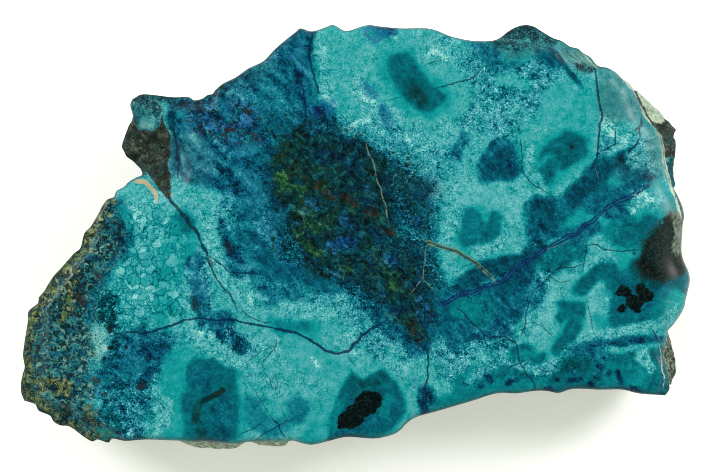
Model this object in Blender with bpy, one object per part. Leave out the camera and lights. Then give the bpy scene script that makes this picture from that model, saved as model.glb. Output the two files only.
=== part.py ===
"""Chrysocolla hand specimen: one stone with a ground and polished face, rough broken flanks and a sawn back.

The stone lies on its sawn back with the polished face up. Its frame is in metres, +Z up, with the origin
at the bottom centre of its bounding box. The face is a grid drawn out to the stone's silhouette, the
flank is its rim pulled down in rings, and the back is one flat face that closes the last ring.
"""

import itertools

import bmesh
import bpy
import numpy as np

MM = 0.001

# Driving dimensions, in millimetres.
THICKNESS = 22.0          # sawn back to polished face
HALF_LENGTH = 84.0        # middle of the face to its far ends
DOME_DROP = 1.6           # how much lower the face lies at those ends than in its middle
EDGE_ROLL = 1.1           # how far down the face's edge is rounded over, where nothing says more
ROLL_WIDTH = 1.5          # how wide that rounding is, in times its depth
FOOT_TAPER = (0.8, 6.2)   # least and most that the sawn back stays inside the silhouette
FOOT_MELT = 0.45          # how much of the silhouette's corners the sawn back has lost
FLANK_HOLLOWS = 4.4       # depth of the broad hollows between the flank's lumps
FLANK_PITS = 1.3          # depth of its small pits
SCOOPS = 40               # shell-shaped breaks knocked out of the flank
SCOOP_RADIUS = (7.0, 15.0)
SCOOP_DEPTH = (3.0, 6.5)
SCOOP_TOP = 0.8           # highest scoop's centre, as a share of the thickness
WIDEST_LEVEL = 0.3        # share of the flank's height, from the top, at which it reaches the silhouette
LEDGE = 1.0               # where the flank shows by this much outside the polish it keeps its full width
LEDGE_SPARED = 1.0        # and loses this share of its hollows and breaks, down to the widest level
BREAK_FULL = 0.55         # a break in the face is at full depth up to this share of its reach
BREAK_GONE = 1.45         # and has run out at this one
BREAK_GRAIN = 0.28        # how much its depth varies

# Sizes of the noise's cells, in millimetres, and the seeds of its patterns.
TAPER_CELL = 19.0
HOLLOW_CELL = 12.0
PIT_CELL = 4.0
BREAK_CELL = 4.0
BREAK_GRAIN_CELL = 1.9
SEEDS = {"taper": 21, "hollows": 11, "pits": 12, "breaks": 3, "break grain": 5, "scoops": 7}

# Fineness of the model: quads along the face, across it and down the flank, passes that melt the
# silhouette's corners, curve steps between two outline points, and the share of triangles kept.
COLUMNS, ROWS, RINGS = 200, 116, 12
MELT_PASSES = 160
CURVE_STEPS = 12
KEPT_SHARE = 0.11
LEVEL_WITHIN = 0.01       # a corner this close to the sawn back's plane is set on it

# The silhouette seen square on to the polished face, in millimetres from its middle, anticlockwise, as
# four stretches that meet at the stone's corners. Points closer together follow chips and teeth.
LOWER_EDGE = [
    (-83.2, -41.0), (-80.2, -42.0), (-79.5, -43.5), (-76.7, -44.7), (-75.7, -46.2), (-74.0, -47.2),
    (-71.7, -47.5), (-68.2, -50.0), (-66.0, -51.2), (-64.7, -50.7), (-62.0, -51.5), (-61.0, -50.5),
    (-57.7, -51.0), (-51.5, -50.7), (-44.5, -51.5), (-40.5, -52.5), (-35.7, -53.0), (-31.5, -53.0),
    (-26.5, -52.0), (-21.0, -52.5), (-17.5, -52.2), (-15.5, -51.5), (-11.2, -52.0), (-6.7, -51.0),
    (-2.2, -50.0), (4.5, -50.4), (9.0, -49.5), (11.2, -48.2), (12.6, -46.7), (15.2, -45.0),
    (20.5, -43.5), (29.0, -41.0), (33.5, -39.5), (36.5, -39.0), (40.2, -39.1), (44.7, -38.5),
    (47.7, -38.5), (50.7, -39.0), (54.5, -38.0), (61.0, -38.2), (66.5, -38.2), (71.0, -39.2), (77.5, -39.8),
]
RIGHT_EDGE = [
    (77.5, -39.8), (78.8, -38.4), (79.0, -37.0), (79.8, -34.7), (80.3, -32.0), (79.8, -29.7),
    (78.8, -25.2), (78.5, -23.7), (79.7, -22.0), (82.0, -18.2), (82.6, -16.0), (83.3, -13.0),
    (83.7, -10.7), (83.3, -8.5), (82.0, -5.5), (81.6, -2.7), (81.9, 2.7), (82.3, 5.0), (82.1, 7.2),
    (81.2, 10.2), (80.4, 12.5), (79.8, 14.7), (79.7, 19.2), (80.3, 23.0), (80.0, 25.2), (80.4, 27.0),
]
UPPER_EDGE = [
    (80.4, 27.0), (78.0, 29.2), (76.4, 31.2), (72.2, 35.0), (68.9, 38.4), (67.0, 39.5), (65.1, 41.2),
    (62.9, 42.4), (61.0, 42.7), (59.9, 43.5), (58.7, 45.0), (56.9, 46.1), (55.4, 47.2), (53.5, 47.7),
    (51.5, 49.1), (49.2, 49.9), (46.2, 51.7), (44.5, 52.7), (42.5, 53.1), (40.2, 52.6), (38.0, 51.4),
    (36.1, 49.9), (33.9, 49.1), (29.0, 49.1), (23.7, 50.2), (18.5, 52.1), (11.2, 52.2), (5.7, 52.7),
    (2.7, 53.0), (-1.5, 51.7), (-3.2, 51.7), (-4.5, 52.5), (-6.0, 53.1), (-7.5, 52.5), (-10.5, 51.5),
    (-12.0, 51.6), (-13.9, 52.2), (-15.2, 51.2), (-18.0, 49.0), (-20.6, 46.7), (-23.2, 44.0),
    (-27.0, 42.1), (-30.0, 40.0), (-33.2, 38.4), (-35.2, 36.7), (-35.9, 35.8), (-37.2, 35.5),
    (-38.5, 34.6), (-40.5, 34.2), (-42.0, 35.0), (-46.1, 35.0), (-50.2, 35.5), (-53.6, 35.7), (-55.9, 34.5),
]
LEFT_EDGE = [
    (-55.9, 34.5), (-56.5, 33.0), (-55.9, 30.7), (-56.1, 29.1), (-57.0, 27.6), (-58.6, 23.1),
    (-58.1, 21.5), (-57.4, 20.1), (-55.9, 19.0), (-54.4, 17.5), (-52.7, 15.7), (-55.1, 14.9),
    (-57.0, 13.7), (-58.0, 12.6), (-59.9, 11.5), (-60.6, 10.0), (-62.2, 9.4), (-63.7, 7.4), (-64.4, 5.9),
    (-66.5, 2.5), (-68.0, 0.9), (-69.0, -2.7), (-70.7, -4.2), (-73.7, -7.6), (-75.5, -9.5),
    (-77.0, -11.7), (-78.1, -13.6), (-79.4, -15.1), (-79.7, -16.6), (-81.5, -18.0), (-82.2, -19.2),
    (-82.2, -21.2), (-83.1, -26.7), (-83.4, -29.7), (-83.0, -32.5), (-83.5, -34.4), (-83.9, -36.6),
    (-83.9, -39.2), (-83.2, -41.0),
]

# Soft spots along the rim as x, y, reach and amount. A reveal is how far the flank shows outside the
# polished face seen from above, and a roll is how far the polish runs down over the edge.
REVEALS = [
    (80.0, 26.0, 9.0, 3.6), (73.0, 33.5, 4.5, 1.6), (79.0, 15.0, 6.0, 0.6), (80.5, -31.0, 5.5, 3.4),
    (-36.0, -53.0, 8.0, 1.9), (-20.5, -52.5, 5.0, 1.5),
]
ROLLS = [(83.0, 12.0, 16.0, 4.6), (84.0, -12.0, 14.0, 4.2), (67.0, 40.0, 10.0, 2.2), (76.0, 31.0, 9.0, 3.0)]

# Places where the face is broken out below the polish, as a line from x, y to x, y, with the reach to
# each side of it and the depth.
BREAKS = [
    (-60.0, 22.0, -50.0, 17.0, 6.5, 3.4),     # slanting break under the upper left tab
    (-52.0, 35.0, -38.0, 35.0, 2.6, 1.4),     # worn top of the tab
    (38.0, 52.5, 49.0, 50.5, 3.2, 2.6),       # tooth on the upper edge
    (53.0, 47.0, 61.0, 42.5, 2.6, 1.5),       # frayed stretch to the right of the tooth
    (-83.0, -37.0, -82.0, -20.0, 4.0, 2.2),   # crusty left rim
    (-80.0, -15.0, -68.0, 1.0, 3.0, 1.8),
    (-83.0, -42.0, -62.0, -52.0, 3.4, 2.4),   # crumbling lower left corner
    (79.0, -36.0, 77.5, -40.0, 2.0, 1.2),
]


def lattice_noise(points, cell, seed):
    """Smooth noise from -1 to 1: a random number at each corner of a lattice of this cell size, blended
    inside each cell with the ease curve 3t^2 - 2t^3."""
    place = points / cell
    corner = np.floor(place).astype(np.int64)
    ease = place - corner
    ease = ease * ease * (3.0 - 2.0 * ease)
    total = np.zeros(len(points))
    for step in itertools.product((0, 1), repeat=3):
        x, y, z = (corner + step).T
        mixed = (x * 73856093) ^ (y * 19349663) ^ (z * 83492791) ^ (seed * 2654435761)
        mixed = ((mixed & 0xFFFFFFFF) * 1274126177) & 0xFFFFFFFF
        height = ((mixed ^ (mixed >> 15)) & 0xFFFF) / 32767.5 - 1.0
        total += height * np.prod(np.where(step, ease, 1.0 - ease), axis=1)
    return total


def smooth_step(value):
    """0 below 0, 1 above 1, and 3t^2 - 2t^3 between."""
    t = np.clip(value, 0.0, 1.0)
    return t * t * (3.0 - 2.0 * t)


def patches(points, cell, seed):
    """Noise stretched to soft-edged patches, from 0 between them to 1 inside."""
    return smooth_step(0.4 + 0.85 * lattice_noise(points, cell, seed))


def along(points, count):
    """count + 1 points evenly spaced by length on the Catmull-Rom curve through a stretch's points."""
    p = np.array(points, float)
    p = np.vstack([2 * p[0] - p[1], p, 2 * p[-1] - p[-2]])
    t = np.linspace(0.0, 1.0, CURVE_STEPS, endpoint=False)[None, :, None]
    a, b, c, d = (p[i:len(p) - 3 + i, None, :] for i in range(4))
    curve = 0.5 * (2 * b + (c - a) * t + (2 * a - 5 * b + 4 * c - d) * t**2 + (3 * b - a - 3 * c + d) * t**3)
    curve = np.vstack([curve.reshape(-1, 2), p[-2:-1]])
    length = np.concatenate([[0.0], np.cumsum(np.linalg.norm(np.diff(curve, axis=0), axis=1))])
    even = np.linspace(0.0, length[-1], count + 1)
    return np.column_stack([np.interp(even, length, curve[:, i]) for i in (0, 1)])


def soft_spots(points, spots):
    """Sum of round bumps: amount * exp(-(distance / reach)^2) for each spot."""
    total = np.zeros(len(points))
    for x, y, reach, amount in spots:
        total += amount * np.exp(-((points[:, 0] - x) ** 2 + (points[:, 1] - y) ** 2) / reach**2)
    return total


def distance_to_line(points, start, end):
    """Distance from each point to the straight piece between start and end."""
    start, step = np.array(start), np.subtract(end, start)
    share = np.clip((points - start) @ step / (step @ step), 0.0, 1.0)
    return np.linalg.norm(points - start - share[:, None] * step, axis=1)


def melted(loop):
    """The closed loop with its corners melted: each point moves to the mean of itself and its neighbours."""
    for _ in range(MELT_PASSES):
        loop = (np.roll(loop, 1, 0) + loop + np.roll(loop, -1, 0)) / 3.0
    return loop


def outward(loop):
    """Unit vectors square to the anticlockwise loop, pointing out of it."""
    run = np.roll(loop, -1, 0) - np.roll(loop, 1, 0)
    normal = np.column_stack([run[:, 1], -run[:, 0]])
    return normal / np.linalg.norm(normal, axis=1)[:, None]


def rim_stations():
    """The silhouette, the polished face's rim, the sawn back's outline and the edge roll, station by station
    anticlockwise from the lower left corner, with the direction out of the stone and how much of a ledge
    the flank makes there, from 0 to 1."""
    stretches = [(LOWER_EDGE, COLUMNS), (RIGHT_EDGE, ROWS), (UPPER_EDGE, COLUMNS), (LEFT_EDGE, ROWS)]
    silhouette = np.vstack([along(points, count)[:-1] for points, count in stretches])
    soft = melted(silhouette)
    normal = outward(soft)
    shown = soft_spots(silhouette, REVEALS)
    face_rim = silhouette - normal * shown[:, None]
    on_floor = np.column_stack([silhouette, np.zeros(len(silhouette))])
    least, most = FOOT_TAPER
    taper = least + (most - least) * patches(on_floor, TAPER_CELL, SEEDS["taper"])
    foot = (1.0 - FOOT_MELT) * silhouette + FOOT_MELT * soft - normal * taper[:, None]
    ledge = np.clip(shown / LEDGE, 0.0, 1.0)
    return silhouette, face_rim, foot, EDGE_ROLL + soft_spots(silhouette, ROLLS), normal, ledge


def face_plan(u, v, rim):
    """Coons patch: the four rim stretches blended across the face, less the blend of its four corners."""
    corners = [0, COLUMNS, COLUMNS + ROWS, 2 * COLUMNS + ROWS]
    closed = np.vstack([rim, rim[:1]])
    lower, right, upper, left = (closed[a:b + 1] for a, b in zip(corners, corners[1:] + [len(rim)]))
    upper, left = upper[::-1], left[::-1]
    column, row = np.rint(u * COLUMNS).astype(int), np.rint(v * ROWS).astype(int)
    u, v = u[:, None], v[:, None]
    sides = (1 - v) * lower[column] + v * upper[column] + (1 - u) * left[row] + u * right[row]
    bilinear = (1 - u) * ((1 - v) * lower[0] + v * upper[0]) + u * ((1 - v) * lower[-1] + v * upper[-1])
    return sides - bilinear


def face_height(plan, rim, roll):
    """The polished face's height: a low dome, less the quarter-round roll at its rim, less the breaks."""
    nearest = np.array([np.argmin(np.sum((rim - point) ** 2, axis=1)) for point in plan])
    gap = np.linalg.norm(plan - rim[nearest], axis=1)
    inside = np.clip(1.0 - gap / (ROLL_WIDTH * roll[nearest]), 0.0, 1.0)
    height = THICKNESS - DOME_DROP * (np.abs(plan[:, 0]) / HALF_LENGTH) ** 3
    height -= roll[nearest] * (1.0 - np.sqrt(1.0 - inside**2))
    level = np.column_stack([plan, np.zeros(len(plan))])
    rough = lattice_noise(level, BREAK_CELL, SEEDS["breaks"])
    rough += 0.6 * lattice_noise(level, BREAK_GRAIN_CELL, SEEDS["break grain"])
    for x0, y0, x1, y1, reach, depth in BREAKS:
        away = distance_to_line(plan, (x0, y0), (x1, y1)) / reach
        broken = smooth_step((BREAK_GONE - away) / (BREAK_GONE - BREAK_FULL))
        height -= broken * depth * (1.0 + BREAK_GRAIN * rough)
    return height


def flank_scoops(silhouette, normal):
    """Centres and radii of the balls that the shell-shaped breaks follow: each stands off the flank, so that
    only its depth reaches into the stone."""
    dice = np.random.default_rng(SEEDS["scoops"])
    station = dice.integers(0, len(silhouette), SCOOPS)
    radius = dice.uniform(*SCOOP_RADIUS, SCOOPS)
    depth = dice.uniform(*SCOOP_DEPTH, SCOOPS)
    plan = silhouette[station] + normal[station] * (radius - depth)[:, None]
    return np.column_stack([plan, dice.uniform(0.0, SCOOP_TOP * THICKNESS, SCOOPS)]), radius


def flank_ring(level, top, silhouette, face_rim, foot, normal, ledge):
    """One ring of the flank, where level runs from 0 at the face's rim to 1 at the sawn back: out to the
    silhouette, then in to the foot, with hollows by noise and with the scoops pressed into it."""
    out = smooth_step(level / WIDEST_LEVEL)
    down = smooth_step((level - WIDEST_LEVEL) / (1.0 - WIDEST_LEVEL))
    plan = face_rim + out * (silhouette - face_rim) + down * (foot - silhouette)
    ring = np.column_stack([plan, top * (1.0 - level)])
    bitten = 1.0 - LEDGE_SPARED * ledge * (1.0 - down)
    depth = FLANK_HOLLOWS * patches(ring, HOLLOW_CELL, SEEDS["hollows"])
    depth += FLANK_PITS * patches(ring, PIT_CELL, SEEDS["pits"])
    ring[:, :2] -= normal * (bitten * depth * np.sin(np.pi * level))[:, None]
    for centre, radius in zip(*flank_scoops(silhouette, normal)):
        ray = ring - centre
        push = np.clip(radius / np.linalg.norm(ray, axis=1) - 1.0, 0.0, None) * out * bitten
        ring[:, :2] += ray[:, :2] * push[:, None]
    return ring


def stone_mesh():
    """The whole stone as one closed mesh, in millimetres."""
    silhouette, face_rim, foot, roll, normal, ledge = rim_stations()
    stone = bmesh.new()
    bmesh.ops.create_grid(stone, x_segments=COLUMNS, y_segments=ROWS, size=0.5)
    face = list(stone.verts)
    u, v = (np.array([vert.co[:2] for vert in face]) + 0.5).T
    plan = face_plan(u, v, face_rim)
    height = face_height(plan, face_rim, roll)

    column, row = np.rint(u * COLUMNS).astype(int), np.rint(v * ROWS).astype(int)
    station = np.where(row == 0, column, COLUMNS + row)
    station = np.where((row == ROWS) & (column < COLUMNS), 2 * COLUMNS + ROWS - column, station)
    station = np.where((column == 0) & (row > 0) & (row < ROWS), 2 * (COLUMNS + ROWS) - row, station)
    station_of = {vert: int(s) for vert, s in zip(face, station) if vert.is_boundary}
    top = np.zeros(len(silhouette))
    for vert, xy, z in zip(face, plan, height):
        vert.co = (*xy, z)
        if vert in station_of:
            top[station_of[vert]] = z

    rim = [edge for edge in stone.edges if edge.is_boundary]
    for level in np.linspace(0.0, 1.0, RINGS + 1)[1:]:
        pulled = bmesh.ops.extrude_edge_only(stone, edges=rim)["geom"]
        ring = flank_ring(level, top, silhouette, face_rim, foot, normal, ledge)
        below = {}
        for vert in (item for item in pulled if isinstance(item, bmesh.types.BMVert)):
            above = next(e.other_vert(vert) for e in vert.link_edges if e.other_vert(vert) in station_of)
            below[vert] = station_of[above]
        for vert, index in below.items():
            vert.co = ring[index]
        station_of = below
        rim = [item for item in pulled if isinstance(item, bmesh.types.BMEdge)]
    bmesh.ops.holes_fill(stone, edges=rim, sides=0)
    bmesh.ops.recalc_face_normals(stone, faces=stone.faces)

    places = np.array([vert.co for vert in stone.verts])
    middle = (places.min(0) + places.max(0)) / 2.0
    bmesh.ops.translate(stone, verts=stone.verts, vec=(-middle[0], -middle[1], 0.0))
    return stone


def stone_material():
    """Blue-green copper silicate with a polish."""
    material = bpy.data.materials.new("chrysocolla")
    material.use_nodes = True
    shader = material.node_tree.nodes["Principled BSDF"]
    shader.inputs["Base Color"].default_value = (0.03, 0.30, 0.34, 1.0)
    shader.inputs["Roughness"].default_value = 0.25
    shader.inputs["Metallic"].default_value = 0.0
    return material


def thinned(piece):
    """The piece's mesh with fewer facets where it is flat, and with the sawn back level again."""
    thin = piece.modifiers.new("fewer facets", "DECIMATE")
    thin.ratio = KEPT_SHARE
    solid = bpy.data.meshes.new_from_object(piece.evaluated_get(bpy.context.evaluated_depsgraph_get()))
    piece.modifiers.remove(thin)
    for vert in solid.vertices:
        if abs(vert.co.z) < LEVEL_WITHIN * MM:
            vert.co.z = 0.0
    return solid


def build():
    for old in list(bpy.data.objects):
        bpy.data.objects.remove(old)
    parts = bpy.data.collections.new("chrysocolla_specimen")
    bpy.context.scene.collection.children.link(parts)

    stone = stone_mesh()
    bmesh.ops.scale(stone, verts=stone.verts, vec=(MM, MM, MM))
    mesh = bpy.data.meshes.new("chrysocolla_stone")
    stone.to_mesh(mesh)
    stone.free()
    mesh.materials.append(stone_material())
    piece = bpy.data.objects.new("chrysocolla_stone", mesh)
    parts.objects.link(piece)
    piece.data = thinned(piece)


build()
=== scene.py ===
# %% [markdown]
# # A polished slab of chrysocolla
#
# Chrysocolla is a copper silicate that grows in veins together with azurite blue, malachite green and black
# manganese oxide. A collector has sawn this piece flat, ground and polished its upper face, and left the
# rest as it broke. The whole stone is one closed surface here: a grid for the face, rings for the flank and
# one flat face for the saw cut. Its colours are laid on in two steps. Soft marks say where each
# mineral lies, as numbers kept at the mesh's points, and the material turns them into grains and threads.

import bpy
import numpy as np
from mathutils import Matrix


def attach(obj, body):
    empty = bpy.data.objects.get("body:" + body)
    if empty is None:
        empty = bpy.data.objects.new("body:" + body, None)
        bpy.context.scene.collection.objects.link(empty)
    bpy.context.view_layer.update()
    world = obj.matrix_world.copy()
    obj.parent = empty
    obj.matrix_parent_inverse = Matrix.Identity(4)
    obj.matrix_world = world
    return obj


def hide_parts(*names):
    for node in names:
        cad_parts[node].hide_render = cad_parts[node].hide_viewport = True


MM = 0.001
NODE = "chrysocolla_stone"
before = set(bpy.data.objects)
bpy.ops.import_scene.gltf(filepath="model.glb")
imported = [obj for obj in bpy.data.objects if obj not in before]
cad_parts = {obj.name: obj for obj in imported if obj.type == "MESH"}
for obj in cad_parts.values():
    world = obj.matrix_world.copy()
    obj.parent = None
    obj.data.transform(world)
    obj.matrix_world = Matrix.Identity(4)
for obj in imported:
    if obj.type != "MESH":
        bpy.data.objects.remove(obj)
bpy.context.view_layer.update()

# %% [markdown]
# ## The stone's outline
#
# The outline is the one thing that a photograph from straight above gives exactly, so it is written down as
# points, close together where chips and teeth sit and far apart along calm stretches. A Catmull-Rom curve
# runs through them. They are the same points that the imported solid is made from.

# %% Sizes of the stone, in millimetres
THICKNESS = 22.0          # sawn back to polished face
HALF_LENGTH = 84.0        # middle of the face to its far ends
DOME_DROP = 1.6           # how much lower the face lies at those ends
EDGE_ROLL = 1.1           # how far down the face's edge is rounded over, where nothing says more
ROLL_WIDTH = 1.5          # how wide that rounding is, in times its depth
FOOT_TAPER = (0.8, 6.2)   # least and most that the sawn back stays inside the silhouette
FOOT_MELT = 0.45          # how much of the silhouette's corners the sawn back has lost
FLANK_HOLLOWS = 4.4       # depth of the broad hollows between the flank's lumps
FLANK_PITS = 1.3          # depth of its small pits
SCOOPS = 40               # shell-shaped breaks knocked out of the flank
SCOOP_RADIUS = (7.0, 15.0)
SCOOP_DEPTH = (3.0, 6.5)
SCOOP_TOP = 0.8           # highest scoop's centre, as a share of the thickness
WIDEST_LEVEL = 0.3        # share of the flank's height, from the top, at which it reaches the silhouette
LEDGE = 1.0               # where the flank shows by this much outside the polish it keeps its full width
LEDGE_SPARED = 1.0        # and loses this share of its hollows and breaks, down to the widest level
BREAK_FULL = 0.55         # a break in the face is at full depth up to this share of its reach
BREAK_GONE = 1.45         # and has run out at this one
BREAK_GRAIN = 0.28        # how much its depth varies
FINE_GRAIN = 0.16         # height of the crumbs on broken rock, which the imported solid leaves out
CELLS = {"taper": 19.0, "hollows": 12.0, "pits": 4.0, "breaks": 4.0, "break grain": 1.9, "face crumbs": 1.3,
         "face dust": 0.7, "flank crumbs": 1.7, "flank dust": 0.9}
SEEDS = {"taper": 21, "hollows": 11, "pits": 12, "breaks": 3, "break grain": 5, "face crumbs": 31,
         "face dust": 32, "flank crumbs": 33, "flank dust": 34, "scoops": 7}

COLUMNS, ROWS, RINGS = 350, 203, 20       # squares of the face along and across, rings of the flank
PACKED_COLUMNS, PACKED_STATIONS = 200, 632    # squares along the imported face, points round its rim
PACKED_MELT = 160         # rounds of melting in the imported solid
CURVE_STEPS = 12          # steps of the curve between two outline points
SHARP_ANGLE = 50.0        # degrees from which an edge of the mesh is drawn sharp

LOWER_EDGE = [
    (-83.2, -41.0), (-80.2, -42.0), (-79.5, -43.5), (-76.7, -44.7), (-75.7, -46.2), (-74.0, -47.2),
    (-71.7, -47.5), (-68.2, -50.0), (-66.0, -51.2), (-64.7, -50.7), (-62.0, -51.5), (-61.0, -50.5),
    (-57.7, -51.0), (-51.5, -50.7), (-44.5, -51.5), (-40.5, -52.5), (-35.7, -53.0), (-31.5, -53.0),
    (-26.5, -52.0), (-21.0, -52.5), (-17.5, -52.2), (-15.5, -51.5), (-11.2, -52.0), (-6.7, -51.0),
    (-2.2, -50.0), (4.5, -50.4), (9.0, -49.5), (11.2, -48.2), (12.6, -46.7), (15.2, -45.0),
    (20.5, -43.5), (29.0, -41.0), (33.5, -39.5), (36.5, -39.0), (40.2, -39.1), (44.7, -38.5),
    (47.7, -38.5), (50.7, -39.0), (54.5, -38.0), (61.0, -38.2), (66.5, -38.2), (71.0, -39.2), (77.5, -39.8),
]
RIGHT_EDGE = [
    (77.5, -39.8), (78.8, -38.4), (79.0, -37.0), (79.8, -34.7), (80.3, -32.0), (79.8, -29.7),
    (78.8, -25.2), (78.5, -23.7), (79.7, -22.0), (82.0, -18.2), (82.6, -16.0), (83.3, -13.0),
    (83.7, -10.7), (83.3, -8.5), (82.0, -5.5), (81.6, -2.7), (81.9, 2.7), (82.3, 5.0), (82.1, 7.2),
    (81.2, 10.2), (80.4, 12.5), (79.8, 14.7), (79.7, 19.2), (80.3, 23.0), (80.0, 25.2), (80.4, 27.0),
]
UPPER_EDGE = [
    (80.4, 27.0), (78.0, 29.2), (76.4, 31.2), (72.2, 35.0), (68.9, 38.4), (67.0, 39.5), (65.1, 41.2),
    (62.9, 42.4), (61.0, 42.7), (59.9, 43.5), (58.7, 45.0), (56.9, 46.1), (55.4, 47.2), (53.5, 47.7),
    (51.5, 49.1), (49.2, 49.9), (46.2, 51.7), (44.5, 52.7), (42.5, 53.1), (40.2, 52.6), (38.0, 51.4),
    (36.1, 49.9), (33.9, 49.1), (29.0, 49.1), (23.7, 50.2), (18.5, 52.1), (11.2, 52.2), (5.7, 52.7),
    (2.7, 53.0), (-1.5, 51.7), (-3.2, 51.7), (-4.5, 52.5), (-6.0, 53.1), (-7.5, 52.5), (-10.5, 51.5),
    (-12.0, 51.6), (-13.9, 52.2), (-15.2, 51.2), (-18.0, 49.0), (-20.6, 46.7), (-23.2, 44.0),
    (-27.0, 42.1), (-30.0, 40.0), (-33.2, 38.4), (-35.2, 36.7), (-35.9, 35.8), (-37.2, 35.5),
    (-38.5, 34.6), (-40.5, 34.2), (-42.0, 35.0), (-46.1, 35.0), (-50.2, 35.5), (-53.6, 35.7), (-55.9, 34.5),
]
LEFT_EDGE = [
    (-55.9, 34.5), (-56.5, 33.0), (-55.9, 30.7), (-56.1, 29.1), (-57.0, 27.6), (-58.6, 23.1),
    (-58.1, 21.5), (-57.4, 20.1), (-55.9, 19.0), (-54.4, 17.5), (-52.7, 15.7), (-55.1, 14.9),
    (-57.0, 13.7), (-58.0, 12.6), (-59.9, 11.5), (-60.6, 10.0), (-62.2, 9.4), (-63.7, 7.4), (-64.4, 5.9),
    (-66.5, 2.5), (-68.0, 0.9), (-69.0, -2.7), (-70.7, -4.2), (-73.7, -7.6), (-75.5, -9.5),
    (-77.0, -11.7), (-78.1, -13.6), (-79.4, -15.1), (-79.7, -16.6), (-81.5, -18.0), (-82.2, -19.2),
    (-82.2, -21.2), (-83.1, -26.7), (-83.4, -29.7), (-83.0, -32.5), (-83.5, -34.4), (-83.9, -36.6),
    (-83.9, -39.2), (-83.2, -41.0),
]

# Soft spots along the rim as x, y, reach and amount: how far the flank shows outside the polished face,
# and how far the polish runs down over the edge.
REVEALS = [
    (80.0, 26.0, 9.0, 3.6), (73.0, 33.5, 4.5, 1.6), (79.0, 15.0, 6.0, 0.6), (80.5, -31.0, 5.5, 3.4),
    (-36.0, -53.0, 8.0, 1.9), (-20.5, -52.5, 5.0, 1.5),
]
ROLLS = [(83.0, 12.0, 16.0, 4.6), (84.0, -12.0, 14.0, 4.2), (67.0, 40.0, 10.0, 2.2), (76.0, 31.0, 9.0, 3.0)]

# Places where the face is broken out below the polish: a line from x, y to x, y, its reach and its depth.
BREAKS = [
    (-60.0, 22.0, -50.0, 17.0, 6.5, 3.4), (-52.0, 35.0, -38.0, 35.0, 2.6, 1.4),
    (38.0, 52.5, 49.0, 50.5, 3.2, 2.6), (53.0, 47.0, 61.0, 42.5, 2.6, 1.5),
    (-83.0, -37.0, -82.0, -20.0, 4.0, 2.2), (-80.0, -15.0, -68.0, 1.0, 3.0, 1.8),
    (-83.0, -42.0, -62.0, -52.0, 3.4, 2.4), (79.0, -36.0, 77.5, -40.0, 2.0, 1.2),
]
print(len(LOWER_EDGE) + len(RIGHT_EDGE) + len(UPPER_EDGE) + len(LEFT_EDGE), "outline points")

# %% [markdown]
# ## Noise that anyone can work out again
#
# Broken rock is uneven at every size. Value noise gives that: a random number sits at each corner of a
# lattice, and inside a cell the eight numbers are blended smoothly. The random number comes from mixing the
# corner's whole-number place, so the same place always gives the same height, on any machine.


# %% Noise and smooth steps
def lattice_noise(points, cell, seed):
    """Value noise from -1 to 1. Formula: sum over the 8 corners of a cell of the corner's random height
    times the product of the three ease weights, where ease(t) = 3t^2 - 2t^3."""
    place = points / cell
    corner = np.floor(place).astype(np.int64)
    ease = place - corner
    ease = ease * ease * (3.0 - 2.0 * ease)
    total = np.zeros(len(points))
    for step in np.ndindex(2, 2, 2):
        x, y, z = (corner + step).T
        mixed = (x * 73856093) ^ (y * 19349663) ^ (z * 83492791) ^ (seed * 2654435761)
        mixed = ((mixed & 0xFFFFFFFF) * 1274126177) & 0xFFFFFFFF
        height = ((mixed ^ (mixed >> 15)) & 0xFFFF) / 32767.5 - 1.0
        total += height * np.prod(np.where(step, ease, 1.0 - ease), axis=1)
    return total


def smooth_step(value):
    """0 below 0, 1 above 1, and 3t^2 - 2t^3 between."""
    t = np.clip(value, 0.0, 1.0)
    return t * t * (3.0 - 2.0 * t)


def named_noise(points, name):
    """The noise whose cell and seed are listed under this name."""
    return lattice_noise(points, CELLS[name], SEEDS[name])


def patches(points, name):
    """Noise stretched to soft-edged patches, from 0 between them to 1 inside."""
    return smooth_step(0.4 + 0.85 * named_noise(points, name))


def flat(plan):
    """Plan points as places in space at height 0."""
    return np.column_stack([plan, np.zeros(len(plan))])


# %% [markdown]
# ## From outline to rim
#
# The four stretches of the outline are cut into equal steps, as many along the top as along the bottom, so
# that a grid can be hung between them. The polish ends inside the silhouette where the flank shows from
# above, and the sawn back is smaller and rounder than the face, as on most broken slabs.


# %% Rim stations
def along(points, count):
    """count + 1 points evenly spaced by length on the Catmull-Rom curve
    0.5 (2b + (c - a) t + (2a - 5b + 4c - d) t^2 + (3b - a - 3c + d) t^3) through the points."""
    p = np.array(points, float)
    p = np.vstack([2 * p[0] - p[1], p, 2 * p[-1] - p[-2]])
    t = np.linspace(0.0, 1.0, CURVE_STEPS, endpoint=False)[None, :, None]
    a, b, c, d = (p[i:len(p) - 3 + i, None, :] for i in range(4))
    curve = 0.5 * (2 * b + (c - a) * t + (2 * a - 5 * b + 4 * c - d) * t**2 + (3 * b - a - 3 * c + d) * t**3)
    curve = np.vstack([curve.reshape(-1, 2), p[-2:-1]])
    length = np.concatenate([[0.0], np.cumsum(np.linalg.norm(np.diff(curve, axis=0), axis=1))])
    even = np.linspace(0.0, length[-1], count + 1)
    return np.column_stack([np.interp(even, length, curve[:, i]) for i in (0, 1)])


def soft_spots(points, spots):
    """Sum of round bumps: amount * exp(-(distance / reach)^2) for each spot."""
    total = np.zeros(len(points))
    for x, y, reach, amount in spots:
        total += amount * np.exp(-((points[:, 0] - x) ** 2 + (points[:, 1] - y) ** 2) / reach**2)
    return total


def melted(loop):
    """The closed loop with its corners melted: each point moves to the mean of itself and its neighbours."""
    for _ in range(round(PACKED_MELT * (COLUMNS / PACKED_COLUMNS) ** 2)):
        loop = (np.roll(loop, 1, 0) + loop + np.roll(loop, -1, 0)) / 3.0
    return loop


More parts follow.
